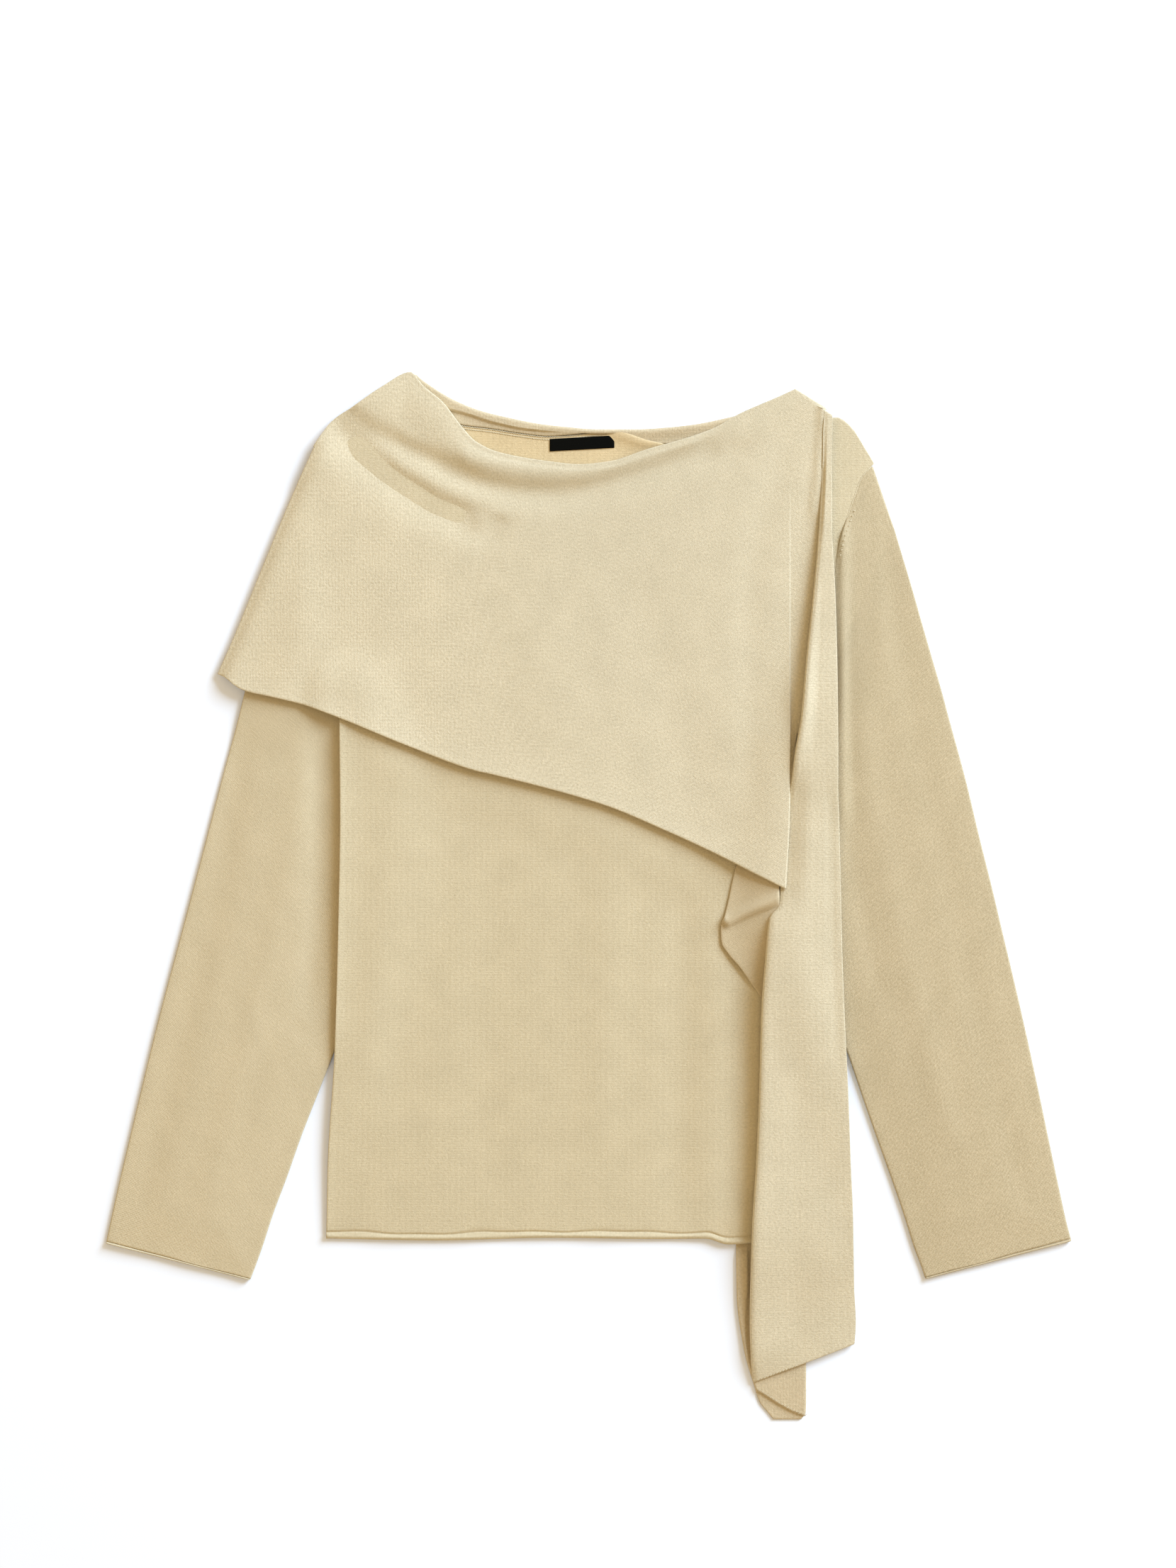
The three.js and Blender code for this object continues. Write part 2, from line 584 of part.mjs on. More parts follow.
// Back half of the cape: flat on the table, and over the back neck to the neck seam
const BACK_COLUMNS = [0, 0.006, 0.014, 0.05, 0.09, 0.14, 0.2, 0.28, 0.36, 0.45, 0.55, 0.65, 0.76, 0.88, 1];
const BACK_LEVELS = [-411, -405, -390, -365, -335, -300, -272, -200, -120, -40, 0, 15, 30, 50, 70, 90, 110,
  130, 145, 155, 163, 170, 175, 180, 190, 210, 230];
const BACK_ABOVE = [0.3, 0.6, 0.82, 0.93]; // rows between the last level and the neck edge
const backNeck = curve(NECK_BACK, "x", "y");
const backLeft = curve(BACK_SIDES, "y", "left");
const backRight = curve(BACK_SIDES, "y", "right");
const neckSeam = curve(BACK_TOP, "x", "y");

// Thick edges of that back half: along the cape's fold, and along the flap that narrows down its tail
const LIPS = [
  { top: 330, topRamp: 15, foot: 185, footRamp: 15, width: FOLD_LIP, narrowing: 0, from: 0 },
  { top: -275, topRamp: 8, foot: -374, footRamp: 16, width: TAIL_LIP, narrowing: 0.85, from: -300 },
];
const NARROWING_LENGTH = 60;
const LIP_SLOPE = 3; // width over which a lip comes down to the cloth
function lipHeight(x, y) {
  return max(...LIPS.map((lip) => {
    const width = lip.width * (1 - lip.narrowing * smooth((lip.from - y) / NARROWING_LENGTH));
    const along = smooth((lip.top - y) / lip.topRamp) * smooth((y - lip.foot) / lip.footRamp);
    return (FOLD_HEIGHT - WALL) * along * (1 - smooth((x - backLeft(y) - width) / LIP_SLOPE));
  }));
}

function backCape() {
  const highest = BACK_LEVELS.at(-1);
  const neckAbove = (u) => backNeck(mix(...ends(NECK_BACK, "x"), u));
  const levels = [
    ...BACK_LEVELS.map((y) => () => y),
    ...BACK_ABOVE.map((t) => (u) => mix(highest, neckAbove(u), t)),
  ];
  const flat = levels.map((level) => BACK_COLUMNS.map((u) => {
    const y = level(u);
    return [mix(backLeft(y), backRight(y), u), y];
  }));
  const lower = flat.map((row) => row.map(([x, y]) => [x, y, 0]));
  const upper = flat.map((row) => row.map(([x, y]) => [x, y, WALL + lipHeight(x, y)]));
  const radius = FOLD_HEIGHT / 2;
  const strips = BACK_COLUMNS.map((u) => {
    const x = mix(BACK_SIDES[0].left, BACK_SIDES[0].right, u);
    const depth = backNeck(x) - neckSeam(x) - NECK_EASE;
    const start = { outer: [radius, 0], inner: [radius, WALL] };
    return [start, ...rollRows(0, FOLD_HEIGHT, depth)].map((row) => ({
      outer: [...inFrom(backNeck, x, row.outer[0], radius), row.outer[1]],
      inner: [...inFrom(backNeck, x, row.inner[0], radius), row.inner[1]],
    }));
  });
  const rolled = (side) => strips[0].map((_, i) => strips.map((strip) => strip[i][side]));
  return solid("drape_back", wallBetween([...lower, ...rolled("outer")], [...upper, ...rolled("inner")]), CAPE);
}

// Front half of the cape
const capeTop = curve(CAPE_TOP, "x", "y");
const capeLower = curve(CAPE_LOWER, "x", "y");
const capeLeft = curve(CAPE_LEFT, "y", "x");
const rightFold = Object.fromEntries(
  ["crest", "end", "endY", "rise", "drop"].map((key) => [key, curve(CAPE_RIGHT, "y", key)]));
const topLine = CAPE_TOP.map((row) => [row.x, row.y]);
const leftLine = CAPE_LEFT.map((row) => [row.x, row.y]);
const CAPE_EDGE = FOLD_HEIGHT + SEAM; // underside of the cape along its left fold
const UNDER_NECK = FOLD_HEIGHT + 0.5; // underside of the cloth turned under at the neck
const NECK_DEPTH = 30; // how far the cloth is turned under at the neck
const NECK_LIFT = 2.2; // extra height of the cape over that
const CORNER_LIFT = 2.3; // and of its left fold at the shoulder
const CORNER = { from: 318, ramp: 20 }; // height at which that begins
const NECK_BAND = { flat: 5, ramp: 30 }; // how far from its edge the neck stays high, and comes down
const CREST_RAMP = 38; // width of the slope up to the crest
const VALLEY_RAMP = 6; // and of the one down behind it
const VALLEY_SETTLE = 0.7; // share of the air that is gone in the valley
const LEFT_RAMP = 11; // width over which the cape rises from its left fold

function foldHeight(x, y) {
  return CAPE_FOLDS.reduce((height, { line, width, depth }) => {
    const fromEnds = [line[0], line.at(-1)].map(([endX, endY]) => hypot(x - endX, y - endY));
    const taper = smooth((min(...fromEnds) + width) / (4 * width));
    return height + depth * taper * exp(-((distanceTo(line, x, y) / width) ** 2));
  }, 0);
}

function capeUnderside(x, y) {
  const past = x - rightFold.crest(y);
  const rise = rightFold.rise(y);
  const drop = rightFold.drop(y);
  const valley = smooth(past / VALLEY_RAMP);
  const crest = past < 0 ? rise * (1 - smooth(-past / CREST_RAMP)) : rise - drop * valley;
  const air = AIR * (1 - VALLEY_SETTLE * valley * min(1, drop / 4));
  const neck = NECK_LIFT * (1 - smooth((distanceTo(topLine, x, y) - NECK_BAND.flat) / NECK_BAND.ramp));
  const full = capeBase(x, y) + air + crest + neck + foldHeight(x, y);
  const edge = CAPE_EDGE + CORNER_LIFT * smooth((y - CORNER.from) / CORNER.ramp);
  return mix(edge, full, smooth(distanceTo(leftLine, x, y) / LEFT_RAMP));
}

const CAPE_COLUMNS = [0, 0.008, 0.018, 0.028, 0.06, 0.1, 0.14, 0.17, 0.195, 0.2026, 0.215, 0.235, 0.26, 0.285,
  0.305, 0.33, 0.36, 0.4, 0.45, 0.5, 0.55, 0.6, 0.65, 0.7, 0.75, 0.8, 0.85, 0.895, 0.93, 0.965, 0.985, 1];
const CAPE_PAST = [0.12, 0.3, 1]; // columns past the crest
const CAPE_ROWS = [0, 0.012, 0.028, 0.045, 0.07, 0.1, 0.135, 0.175, 0.22, 0.28, 0.35, 0.42, 0.49, 0.56,
  0.62, 0.66, 0.693, 0.724, 0.755, 0.785, 0.818, 0.87, 0.93, 0.98, 1];

const BOW_LEFT = 0.15; // share of the width that follows the curve of the left fold
const BOW_RIGHT = 0.2; // and share that follows the curve of the crest
const NECK_SLACK = { left: -158, right: 150, ramp: 30 }; // where the cloth is turned under in full
const TURNED_LEAST = 5; // how far it is turned under at the shoulders

function frontCape() {
  const [topLeft, topRight] = ends(CAPE_TOP, "x");
  const [footLeft, footRight] = ends(CAPE_LOWER, "x");
  const shoulder = CAPE_RIGHT[0];
  const columns = [...CAPE_COLUMNS.map((u) => ({ u, past: 0 })), ...CAPE_PAST.map((past) => ({ u: 1, past }))];
  const edgeAt = (x) => {
    const past = max(0, x - shoulder.crest) / (shoulder.end - shoulder.crest);
    return past ? mix(shoulder.y, shoulder.endY, past) : capeTop(x);
  };
  const strips = columns.map(({ u, past }) => {
    const x = past ? mix(shoulder.crest, shoulder.end, past) : mix(topLeft, topRight, u);
    const fromLeft = smooth((x - NECK_SLACK.left) / NECK_SLACK.ramp);
    const slack = fromLeft * smooth((NECK_SLACK.right - x) / NECK_SLACK.ramp);
    const from = capeUnderside(...inFrom(edgeAt, x, 3, 3)) + WALL;
    const radius = (from - UNDER_NECK) / 2;
    const start = inFrom(edgeAt, x, radius, radius);
    const footX = mix(footLeft, footRight, u);
    const footY = capeLower(footX);
    const [bowLeft, bowRight] = [max(0, 1 - u / BOW_LEFT), max(0, 1 - (1 - u) / BOW_RIGHT)];
    const place = (v) => {
      if (v === 0) return start;
      const y = mix(past ? shoulder.y - radius : start[1], footY, v);
      if (past) return [mix(rightFold.crest(y), rightFold.end(y), past), mix(y, rightFold.endY(y), past)];
      const left = bowLeft * (capeLeft(y) - mix(topLeft, footLeft, v));
      const right = bowRight * (rightFold.crest(y) - mix(topRight, footRight, v));
      return [mix(start[0], footX, v) + left + right, y];
    };
    const body = CAPE_ROWS.map((v) => {
      const [px, y] = place(v);
      const height = v === 0 ? from - WALL : capeUnderside(px, y);
      return { outer: [px, y, height + WALL], inner: [px, y, height] };
    }).reverse();
    const depth = past ? TURNED_LEAST : mix(TURNED_LEAST, NECK_DEPTH, slack);
    const rolled = rollRows(from, UNDER_NECK, depth).map((row) => ({
      outer: [...inFrom(edgeAt, x, row.outer[0], radius), row.outer[1]],
      inner: [...inFrom(edgeAt, x, row.inner[0], radius), row.inner[1]],
    }));
    return [...body, ...rolled];
  });
  const grid = (side) => strips[0].map((_, i) => strips.map((strip) => strip[i][side]));
  return solid("drape_front", wallBetween(grid("outer"), grid("inner")), CAPE);
}

// The lobe under the cape's lower corner
const lobeBase = (x, y) => capeBase(x, y) + SEAM;
const LOBE_COLUMNS = [0, 0.15, 0.35, 0.55, 0.75, 1];
const ROLL_END = { x: 138, ramp: 8 }; // where its rolled edge comes down under the tail
function lobe() {
  const place = (row, f) => [mix(row.left, row.right, f), row.y + LOBE_SLANT * f];
  const lower = LOBE_ROWS.map((row) => LOBE_COLUMNS.map((f) => {
    const [x, y] = place(row, f);
    return [x, y, lobeBase(x, y)];
  }));
  const upper = LOBE_ROWS.map((row) => LOBE_COLUMNS.map((f) => {
    const [x, y] = place(row, f);
    const roll = LOBE_STEP * row.roll * (1 - smooth((x - ROLL_END.x) / ROLL_END.ramp));
    return [x, y, lobeBase(x, y) + WALL + roll];
  }));
  return solid("drape_fold", wallBetween(upper, lower), CAPE);
}

// Front tail: a strip folded along its right, lying over the edge of the cape and the hem
const TAIL_COLUMNS = [0, 0.12, 0.3, 0.5, 0.75, 1];
const TAIL_RISE = 0.5; // share of its width over which it rises to the fold
const TAIL_CELL = 32; // longest step down the tail
const OVER_HEM = { lift: 1.7, y: -268, flat: 12, ramp: 30 }; // how the rolled hem under it lifts it
const ON_CAPE = { from: 75, ramp: 40, past: 7 }; // above this it lies in the valley behind the crest
const SLANTED = { from: -190, ramp: 170 }; // its rows slant below this height
const tailBase = (x, y) => {
  const onCape = capeUnderside(max(x, rightFold.crest(y) + ON_CAPE.past), y) + LAYER;
  const lying = mix(capeBase(x, y), onCape, smooth((y - ON_CAPE.from) / ON_CAPE.ramp));
  const onHem = OVER_HEM.lift * (1 - smooth((abs(y - OVER_HEM.y) - OVER_HEM.flat) / OVER_HEM.ramp));
  return lying + onHem + (LAYER + SEAM) * cover(lobeOutline, x, y) + SEAM;
};

function tail() {
  const shapes = Object.fromEntries(
    ["left", "right", "fold", "under"].map((key) => [key, curve(TAIL_ROWS, "y", key)]));
  const levels = [];
  TAIL_ROWS.slice(0, -1).forEach((row, i) => {
    const next = TAIL_ROWS[i + 1].y;
    const parts = Math.ceil((row.y - next) / TAIL_CELL);
    for (let k = 0; k < parts; k += 1) levels.push(mix(row.y, next, k / parts));
  });
  levels.push(TAIL_ROWS.at(-1).y);
  const strips = levels.map((y) => {
    const [left, right, fold, under] = ["left", "right", "fold", "under"].map((key) => shapes[key](y));
    const slant = TAIL_SLANT * smooth((SLANTED.from - y) / SLANTED.ramp);
    const radius = fold / 2;
    const put = (x) => [x, y + slant * mix(-1, 1, (x - left) / (right - left))];
    const over = TAIL_COLUMNS.map((f) => {
      const [x, py] = put(mix(left, right - radius, f));
      const height = mix(WALL + LAP, fold, smooth(f / TAIL_RISE));
      const base = tailBase(x, py);
      return { outer: [x, py, base + height], inner: [x, py, base + height - WALL] };
    });
    const turned = rollRows(fold, 0, under).map((row) => {
      const [ox, oy] = put(right - row.outer[0]);
      const [ix, iy] = put(right - row.inner[0]);
      return { outer: [ox, oy, tailBase(ox, oy) + row.outer[1]], inner: [ix, iy, tailBase(ix, iy) + row.inner[1]] };
    });
    return [...over, ...turned];
  });
  const grid = (side) => strips.map((strip) => strip.map((point) => point[side]));
  return solid("front_tail", wallBetween(grid("outer"), grid("inner")), CAPE);
}

// Neck label, sewn on below the neck seam and left bare
const LABEL = { left: -30.5, right: 20.5, leftTop: 362.9, rightTop: 365.7, height: 9.8, thick: 0.5 };
function label() {
  const place = (u, v) => [
    mix(LABEL.left, LABEL.right, u),
    mix(LABEL.leftTop, LABEL.rightTop, u) - LABEL.height * v,
  ];
  const grid = (lift) => steps(2).map((v) => steps(8).map((u) => {
    const [x, y] = place(u, v);
    return [x, y, bodyBase(x, y) + WALL + SEAM + lift];
  }));
  return solid("neck_label", wallBetween(grid(LABEL.thick), grid(0)), WOVEN);
}

const sweater = new THREE.Group();
sweater.add(
  bodyPanel("back_panel", BACK_TOP, bodyBase, 0),
  bodyPanel("front_panel", FRONT_TOP, frontBase, HEM_ROLL),
  sleeve("sleeve_right", SLEEVE_RIGHT_RINGS, sleeveOutlines[0], leftSide),
  sleeve("sleeve_left", SLEEVE_LEFT_RINGS, sleeveOutlines[1], rightSide),
  backCape(),
  frontCape(),
  lobe(),
  tail(),
  label(),
);

export default sweater;
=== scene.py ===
# A knit sweater with a draped cape, laid flat with its front up.
# Tables and shapes are in millimetres on the same axes as the frame, and become metres in the meshes.
import math
import bpy
import numpy as np
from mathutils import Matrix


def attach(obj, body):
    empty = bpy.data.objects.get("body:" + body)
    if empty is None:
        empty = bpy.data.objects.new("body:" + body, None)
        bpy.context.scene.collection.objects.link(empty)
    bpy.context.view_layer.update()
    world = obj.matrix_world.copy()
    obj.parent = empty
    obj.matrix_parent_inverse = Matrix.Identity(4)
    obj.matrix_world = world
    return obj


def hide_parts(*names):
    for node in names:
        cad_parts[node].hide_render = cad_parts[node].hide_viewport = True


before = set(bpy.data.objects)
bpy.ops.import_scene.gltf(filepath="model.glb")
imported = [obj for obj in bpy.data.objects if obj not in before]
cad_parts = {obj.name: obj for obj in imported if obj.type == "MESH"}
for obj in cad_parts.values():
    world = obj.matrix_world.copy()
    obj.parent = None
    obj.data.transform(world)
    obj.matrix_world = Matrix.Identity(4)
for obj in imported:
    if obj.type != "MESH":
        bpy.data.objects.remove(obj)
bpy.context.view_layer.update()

MM = 0.001
PI = math.pi

# Driving sizes, as in the part
WALL = 1.3  # thickness of the jersey
SEAM = 0.3  # gap where two pieces are sewn together
LAP = 0.45  # air between two layers that lie on each other
LAYER = WALL + LAP
MARGIN = 9.0  # a layer keeps its full height this far past what it lies on
RAMP = 46.0  # and comes down over this length
SLEEVE_FLAT = 2 * WALL + LAP
SLEEVE_CROWN = 1.6
FOLD_HEIGHT = 2 * WALL + 0.8
AIR = 1.7  # how far the cape stands off what it covers
UNDERARM = 205.0  # above this height the body isn't lifted by the sleeves
TUCK_RAMP = 39.0  # and below it the lift comes in over this length
CROWN_REACH = 40.0  # how far in from its edges a sleeve is at its fullest
CELL = 3.6  # size of a mesh cell in what shows
BACK_CELL = 4.0  # and in the back panel
SOFT_REACH = 1.4  # how far in from a cut edge the cloth is thinned
SOFT_SHARE = 0.68  # and how much of its thickness goes at the edge


def table(names, rows):
    """Columns of a table by their names."""
    values = np.array(rows, float)
    return {name: values[:, i] for i, name in enumerate(names.split())}


BODY_SIDES = table("y left right", [
    (-273, -207, 203), (-208, -205.5, 201.5), (-119, -200, 196), (-20, -197, 193), (66, -195.5, 191.5),
    (142, -196, 192), (190, -193, 190), (240, -194, 192), (277, -198, 196.5), (309, -206, 206.5),
    (320, -209, 210.5), (332, -212.5, 215), (344, -216, 226)])
FRONT_TOP = table("x y", [
    (-216, 338), (-190, 362), (-165, 374), (-142, 368), (-115, 346), (-90, 326), (-60, 315), (-10, 309),
    (30, 316), (70, 328), (105, 341), (135, 354), (160, 368), (180, 376), (196, 380), (207, 372.8),
    (217.5, 357), (226, 343)])
HEM = table("x y", [
    (-207, -268), (-120, -269.5), (-30, -267.5), (60, -268.5), (93, -268), (110, -272.5), (129, -271.5),
    (203, -268)])
SLEEVE_RIGHT = table("outerX outerY innerX innerY", [
    (-219, 334, -194.6, 200), (-236, 290, -196, 182), (-249, 250, -195.4, 163), (-258.5, 218, -186, 135),
    (-265.5, 188, -175, 106), (-271, 164, -166, 76), (-277.5, 138, -162, 38), (-290, 92, -166, -8),
    (-301, 50, -178, -56), (-311, 12, -190, -92), (-320, -22, -201, -122), (-331, -63, -213.5, -154),
    (-342, -105, -226, -186), (-352, -146, -238, -220), (-362, -188, -248.5, -248),
    (-371, -226, -257, -274), (-378.5, -260, -263.5, -292), (-381, -272, -267, -301)])
SLEEVE_LEFT = table("outerX outerY innerX innerY", [
    (227.6, 342, 192.2, 200), (242, 291, 192.8, 182), (254, 251, 192.2, 163), (264, 216, 184, 135),
    (271.5, 190, 173, 106), (278.5, 166, 164.5, 76), (285.5, 140, 162, 38), (298, 94, 167, -8),
    (309, 48, 179.5, -56), (318.5, 10, 192.5, -92), (327, -26, 204.5, -122), (337, -68, 215.5, -154),
    (347, -112, 227, -187), (356, -154, 238.5, -219), (365, -197, 248.5, -248), (372, -230, 257, -275),
    (378, -257, 263, -291), (381.5, -270, 266, -300)])
CAPE_LEFT = table("y x", [(357, -217), (318, -234.5), (262, -257.5), (206, -280), (177.5, -292.5)])
CAPE_TOP = table("x y", [
    (-217, 357), (-201.5, 377.5), (-185, 388.5), (-162.5, 404), (-140, 415.5), (-130.5, 405), (-114, 391),
    (-101, 374), (-88.5, 360.5), (-70, 352), (-31.5, 345), (-7, 342.5), (17, 345), (46.5, 354.5),
    (76.5, 363), (98.5, 371), (120, 383), (150, 396), (163, 402)])
CAPE_LOWER = table("x y", [
    (-292.5, 177.5), (-286, 174.5), (-279.5, 169), (-270.5, 164), (-249, 159), (-224.5, 153), (-197, 143),
    (-144.5, 121.5), (-90.5, 101.5), (-73, 97.5), (11, 74.5), (60.5, 54), (102, 34.5), (130.5, 20),
    (154, 8.5)])
CAPE_RIGHT = table("y crest end endY rise drop", [
    (402, 163, 188, 386.5, 0, 0), (340, 160, 189, 336, 0, 0), (296, 158.5, 189, 294, 0.2, 0.2),
    (240, 158.5, 190, 239, 0.5, 0.5), (206, 158.5, 190, 205, 0.9, 0.9), (170, 158.5, 189, 170, 1.6, 1.6),
    (142, 158.5, 176, 142, 2.6, 2.6),
    (128, 158.4, 164, 128, 4, 4), (116, 158.3, 163, 116, 4, 4), (104, 158, 161.2, 104, 4, 3.0),
    (92, 157.8, 159.6, 92, 4, 1.6), (80, 157.5, 158.7, 80, 4, 0.6), (60, 157, 158.2, 60, 4, 0.2),
    (8.5, 154, 155.2, 8, 4, 0.2)])
TAIL_ROWS = table("y left right fold under", [
    (385, 186.5, 192, 2.0, 2), (371, 185.5, 192, 2.3, 3), (345, 185, 191.5, 3.2, 3),
    (296, 182.5, 191.5, 5.6, 4), (239, 177.5, 194, 7.8, 6), (189, 172, 195.3, 8.6, 8),
    (142, 167.5, 195.8, 8.6, 12), (116, 163, 196, 8.4, 16), (92, 160, 196, 7.8, 20),
    (60, 155.5, 197, 7.2, 24), (20, 152, 198, 7.0, 26), (-4, 150.5, 198.5, 7.4, 28),
    (-14, 143, 198.7, 7.6, 28), (-45, 140, 199.5, 8.2, 30), (-85, 137, 201, 8.4, 32),
    (-158, 135, 204.5, 8.4, 34), (-212, 132.5, 206.5, 7.6, 34), (-247, 130, 208, 6.8, 34),
    (-272, 129, 208.5, 6.2, 34), (-319, 128, 209.5, 5.4, 34), (-349, 129, 211, 4.6, 32),
    (-366, 131, 210, 4, 30)])
TAIL_SLANT = 15.0
HEAD_SLANT = 3.4  # how far the tail's top comes down to the right, with the shoulder
TAIL_EDGE = table("y rise", [  # how high the tail's left edge stands
    (385, 1.7), (345, 1.9), (310, 3.4), (270, 6.4), (239, 8.2), (189, 10.6), (159, 12.0), (142, 12.0),
    (110, 9.0), (80, 4.6), (40, 2.8), (10, 4.0), (-10, 6.9), (-30, 9.0), (-65, 10.4), (-158, 11.0),
    (-230, 9.8), (-272, 8.4), (-300, 8.2), (-340, 7.2), (-366, 2.9)])
LOBE_ROWS = table("y left right", [
    (34, 121, 149), (26, 116.5, 150), (12, 113, 150), (0, 110.5, 150), (-12, 107.5, 150), (-19, 105, 150),
    (-23, 104.2, 150), (-34, 104.8, 150), (-43, 110, 150), (-54, 119.5, 150), (-66, 128, 151),
    (-80, 138, 152)])
LOBE_SLANT = 20.0
NECK_BACK = table("x y", [
    (-217, 357), (-201.5, 377.5), (-185, 388.5), (-162.5, 404), (-140, 415.5), (-129, 408), (-106.5, 394),
    (-84, 385), (-61.5, 379.5), (-39, 375), (-17, 372.5), (5.5, 370.7), (39, 370.7), (61.5, 372),
    (84, 374.5), (106.5, 379), (129, 385), (151, 395.5), (162.5, 401.5), (173.5, 396), (184, 388)])
BACK_SIDES = table("y left right", [
    (357, -216.6, 184), (318, -234, 184), (262, -257, 184), (206, -279.5, 172), (180, -290, 165),
    (170, -262, 162), (150, -190, 158), (110, -80, 154), (70, 20, 152), (30, 100, 150), (0, 113, 150),
    (-120, 115, 156), (-272, 116.5, 172), (-312, 117, 172), (-355, 122.6, 172), (-385, 131, 172),
    (-397, 135, 172), (-406, 142, 171.5), (-411, 146, 168)])

# Soft troughs and ridges: a line, a half width and a depth, below zero in a trough.
# A fourth value is the half width on the lower side, where that is wider.
CAPE_FOLDS = [
    ([(-200, 401), (-188.7, 389), (-170.8, 374.6), (-135.5, 357.3), (-107, 344), (-82, 332.5), (-53.8, 326.5),
      (-25, 324.8), (2.8, 327), (31.4, 336.5), (59.7, 345.7), (88, 355.3), (110, 364)], 5.5, -3.6, 14),
    ([(-204, 388), (-188.7, 371.3), (-152.9, 341), (-117.6, 318), (-99.7, 310.8), (-80, 305)], 7, -4.6, 18),
    ([(-198, 378), (-166, 358), (-137.2, 341.6), (-98.6, 326), (-70, 318)], 7, 0.5),
    ([(-104, 360), (-92, 352), (-72, 346), (-40, 340.5), (-5, 339), (25, 342), (60, 353), (96, 366)],
     5.5, 1.9),
    ([(170, 378), (158, 345), (147, 315), (135.5, 262), (134.5, 160), (134.5, 66)], 12, -0.9),
    ([(-228, 300), (-216, 240), (-214, 190)], 18, 0.4),
    ([(-190, 320), (-176, 250), (-186, 180)], 22, -0.5),
    ([(40, 290), (70, 200), (92, 90)], 22, -0.8),
    ([(-40, 280), (-20, 200), (0, 100)], 26, 0.8),
]


def clamp(t):
    return np.clip(t, 0.0, 1.0)


def smooth(t):
    t = clamp(t)
    return t * t * (3 - 2 * t)


def mix(a, b, t):
    return a + (b - a) * t


def within(value, start, rise, end, fall):
    """1 between two places, with a soft ramp of its own length inside each of them."""
    return smooth((value - start) / rise) * smooth((end - value) / fall)


def span(rows, key, share):
    """A place between the first and the last value of a column."""
    return mix(rows[key][0], rows[key][-1], share)


def curve(rows, start, end):
    """A smooth curve through one column against another, with no overshoot."""
    order = np.argsort(rows[start])
    xs = rows[start][order]
    ys = rows[end][order]
    widths = np.diff(xs)
    slopes = np.diff(ys) / widths
    tangents = np.empty_like(xs)
    tangents[0] = slopes[0]
    tangents[-1] = slopes[-1]
    before, after = slopes[:-1], slopes[1:]
    same = before * after > 0
    total = np.where(same, before + after, 1.0)
    tangents[1:-1] = np.where(same, 2 * before * after / total, 0.0)

    def at(x):
        x = np.clip(x, xs[0], xs[-1])
        i = np.clip(np.searchsorted(xs, x, side="right") - 1, 0, len(xs) - 2)
        t = (x - xs[i]) / widths[i]
        near = (1 + 2 * t) * (1 - t) ** 2 * ys[i] + t * (1 - t) ** 2 * widths[i] * tangents[i]
        far = t * t * (3 - 2 * t) * ys[i + 1] + t * t * (t - 1) * widths[i] * tangents[i + 1]
        return near + far

    return at


def distance_to(line, x, y):
    """Distance from points to a line of points."""
    best = np.full(np.broadcast(x, y).shape, 1e9)
    for (ax, ay), (bx, by) in zip(line[:-1], line[1:]):
        dx, dy = bx - ax, by - ay
        t = clamp(((x - ax) * dx + (y - ay) * dy) / (dx * dx + dy * dy))
        best = np.minimum(best, np.hypot(x - ax - t * dx, y - ay - t * dy))
    return best


def outside(outline, x, y):
    """Distance outside a closed outline, below zero inside it."""
    inside = np.zeros(np.broadcast(x, y).shape, bool)
    for (ax, ay), (bx, by) in zip([outline[-1]] + outline[:-1], outline):
        crosses = (ay > y) != (by > y)
        across = ax + (y - ay) / (by - ay if by != ay else 1.0) * (bx - ax)
        inside ^= crosses & (x < across)
    distance = distance_to([outline[-1]] + outline, x, y)
    return np.where(inside, -distance, distance)


def cover(outline, x, y):
    return 1 - smooth((outside(outline, x, y) - MARGIN) / RAMP)


def points(rows, x_key, y_key, backwards=False):
    line = list(zip(rows[x_key], rows[y_key]))
    return line[::-1] if backwards else line


inner_rows = [i for i, y in enumerate(BODY_SIDES["y"]) if -260 < y < 338]
back_outline = (points(BACK_SIDES, "left", "y", True) + points(NECK_BACK, "x", "y")
                + points(BACK_SIDES, "right", "y"))
front_outline = (points(HEM, "x", "y")
                 + [(BODY_SIDES["right"][i], BODY_SIDES["y"][i]) for i in inner_rows]
                 + points(FRONT_TOP, "x", "y", True)
                 + [(BODY_SIDES["left"][i], BODY_SIDES["y"][i]) for i in inner_rows[::-1]])
sleeve_outlines = [points(rows, "outerX", "outerY") + points(rows, "innerX", "innerY", True)
                   for rows in (SLEEVE_RIGHT, SLEEVE_LEFT)]
lobe_outline = points(LOBE_ROWS, "left", "y") + points(LOBE_ROWS, "right", "y", True)


# Height of what each layer lies on
def ground(x, y):
    return LAYER * cover(back_outline, x, y)


def crown(outline, x, y):
    return SLEEVE_CROWN * smooth(-outside(outline, x, y) / CROWN_REACH)


def over_sleeve(x, y):
    flat = SLEEVE_FLAT + LAP
    heights = [cover(outline, x, y) * (flat + crown(outline, x, y)) for outline in sleeve_outlines]
    return np.maximum(*heights)


def tuck(x, y):
    return over_sleeve(x, y) * smooth((UNDERARM - y) / TUCK_RAMP)


def body_base(x, y):
    return ground(x, y) + tuck(x, y)


def front_base(x, y):
    return body_base(x, y) + LAYER


def sleeve_top(outline, x, y):
    return ground(x, y) + SLEEVE_FLAT + crown(outline, x, y)


def cape_base(x, y):
    over_body = tuck(x, y) + 2 * LAYER
    return ground(x, y) + np.maximum(cover(front_outline, x, y) * over_body, over_sleeve(x, y))


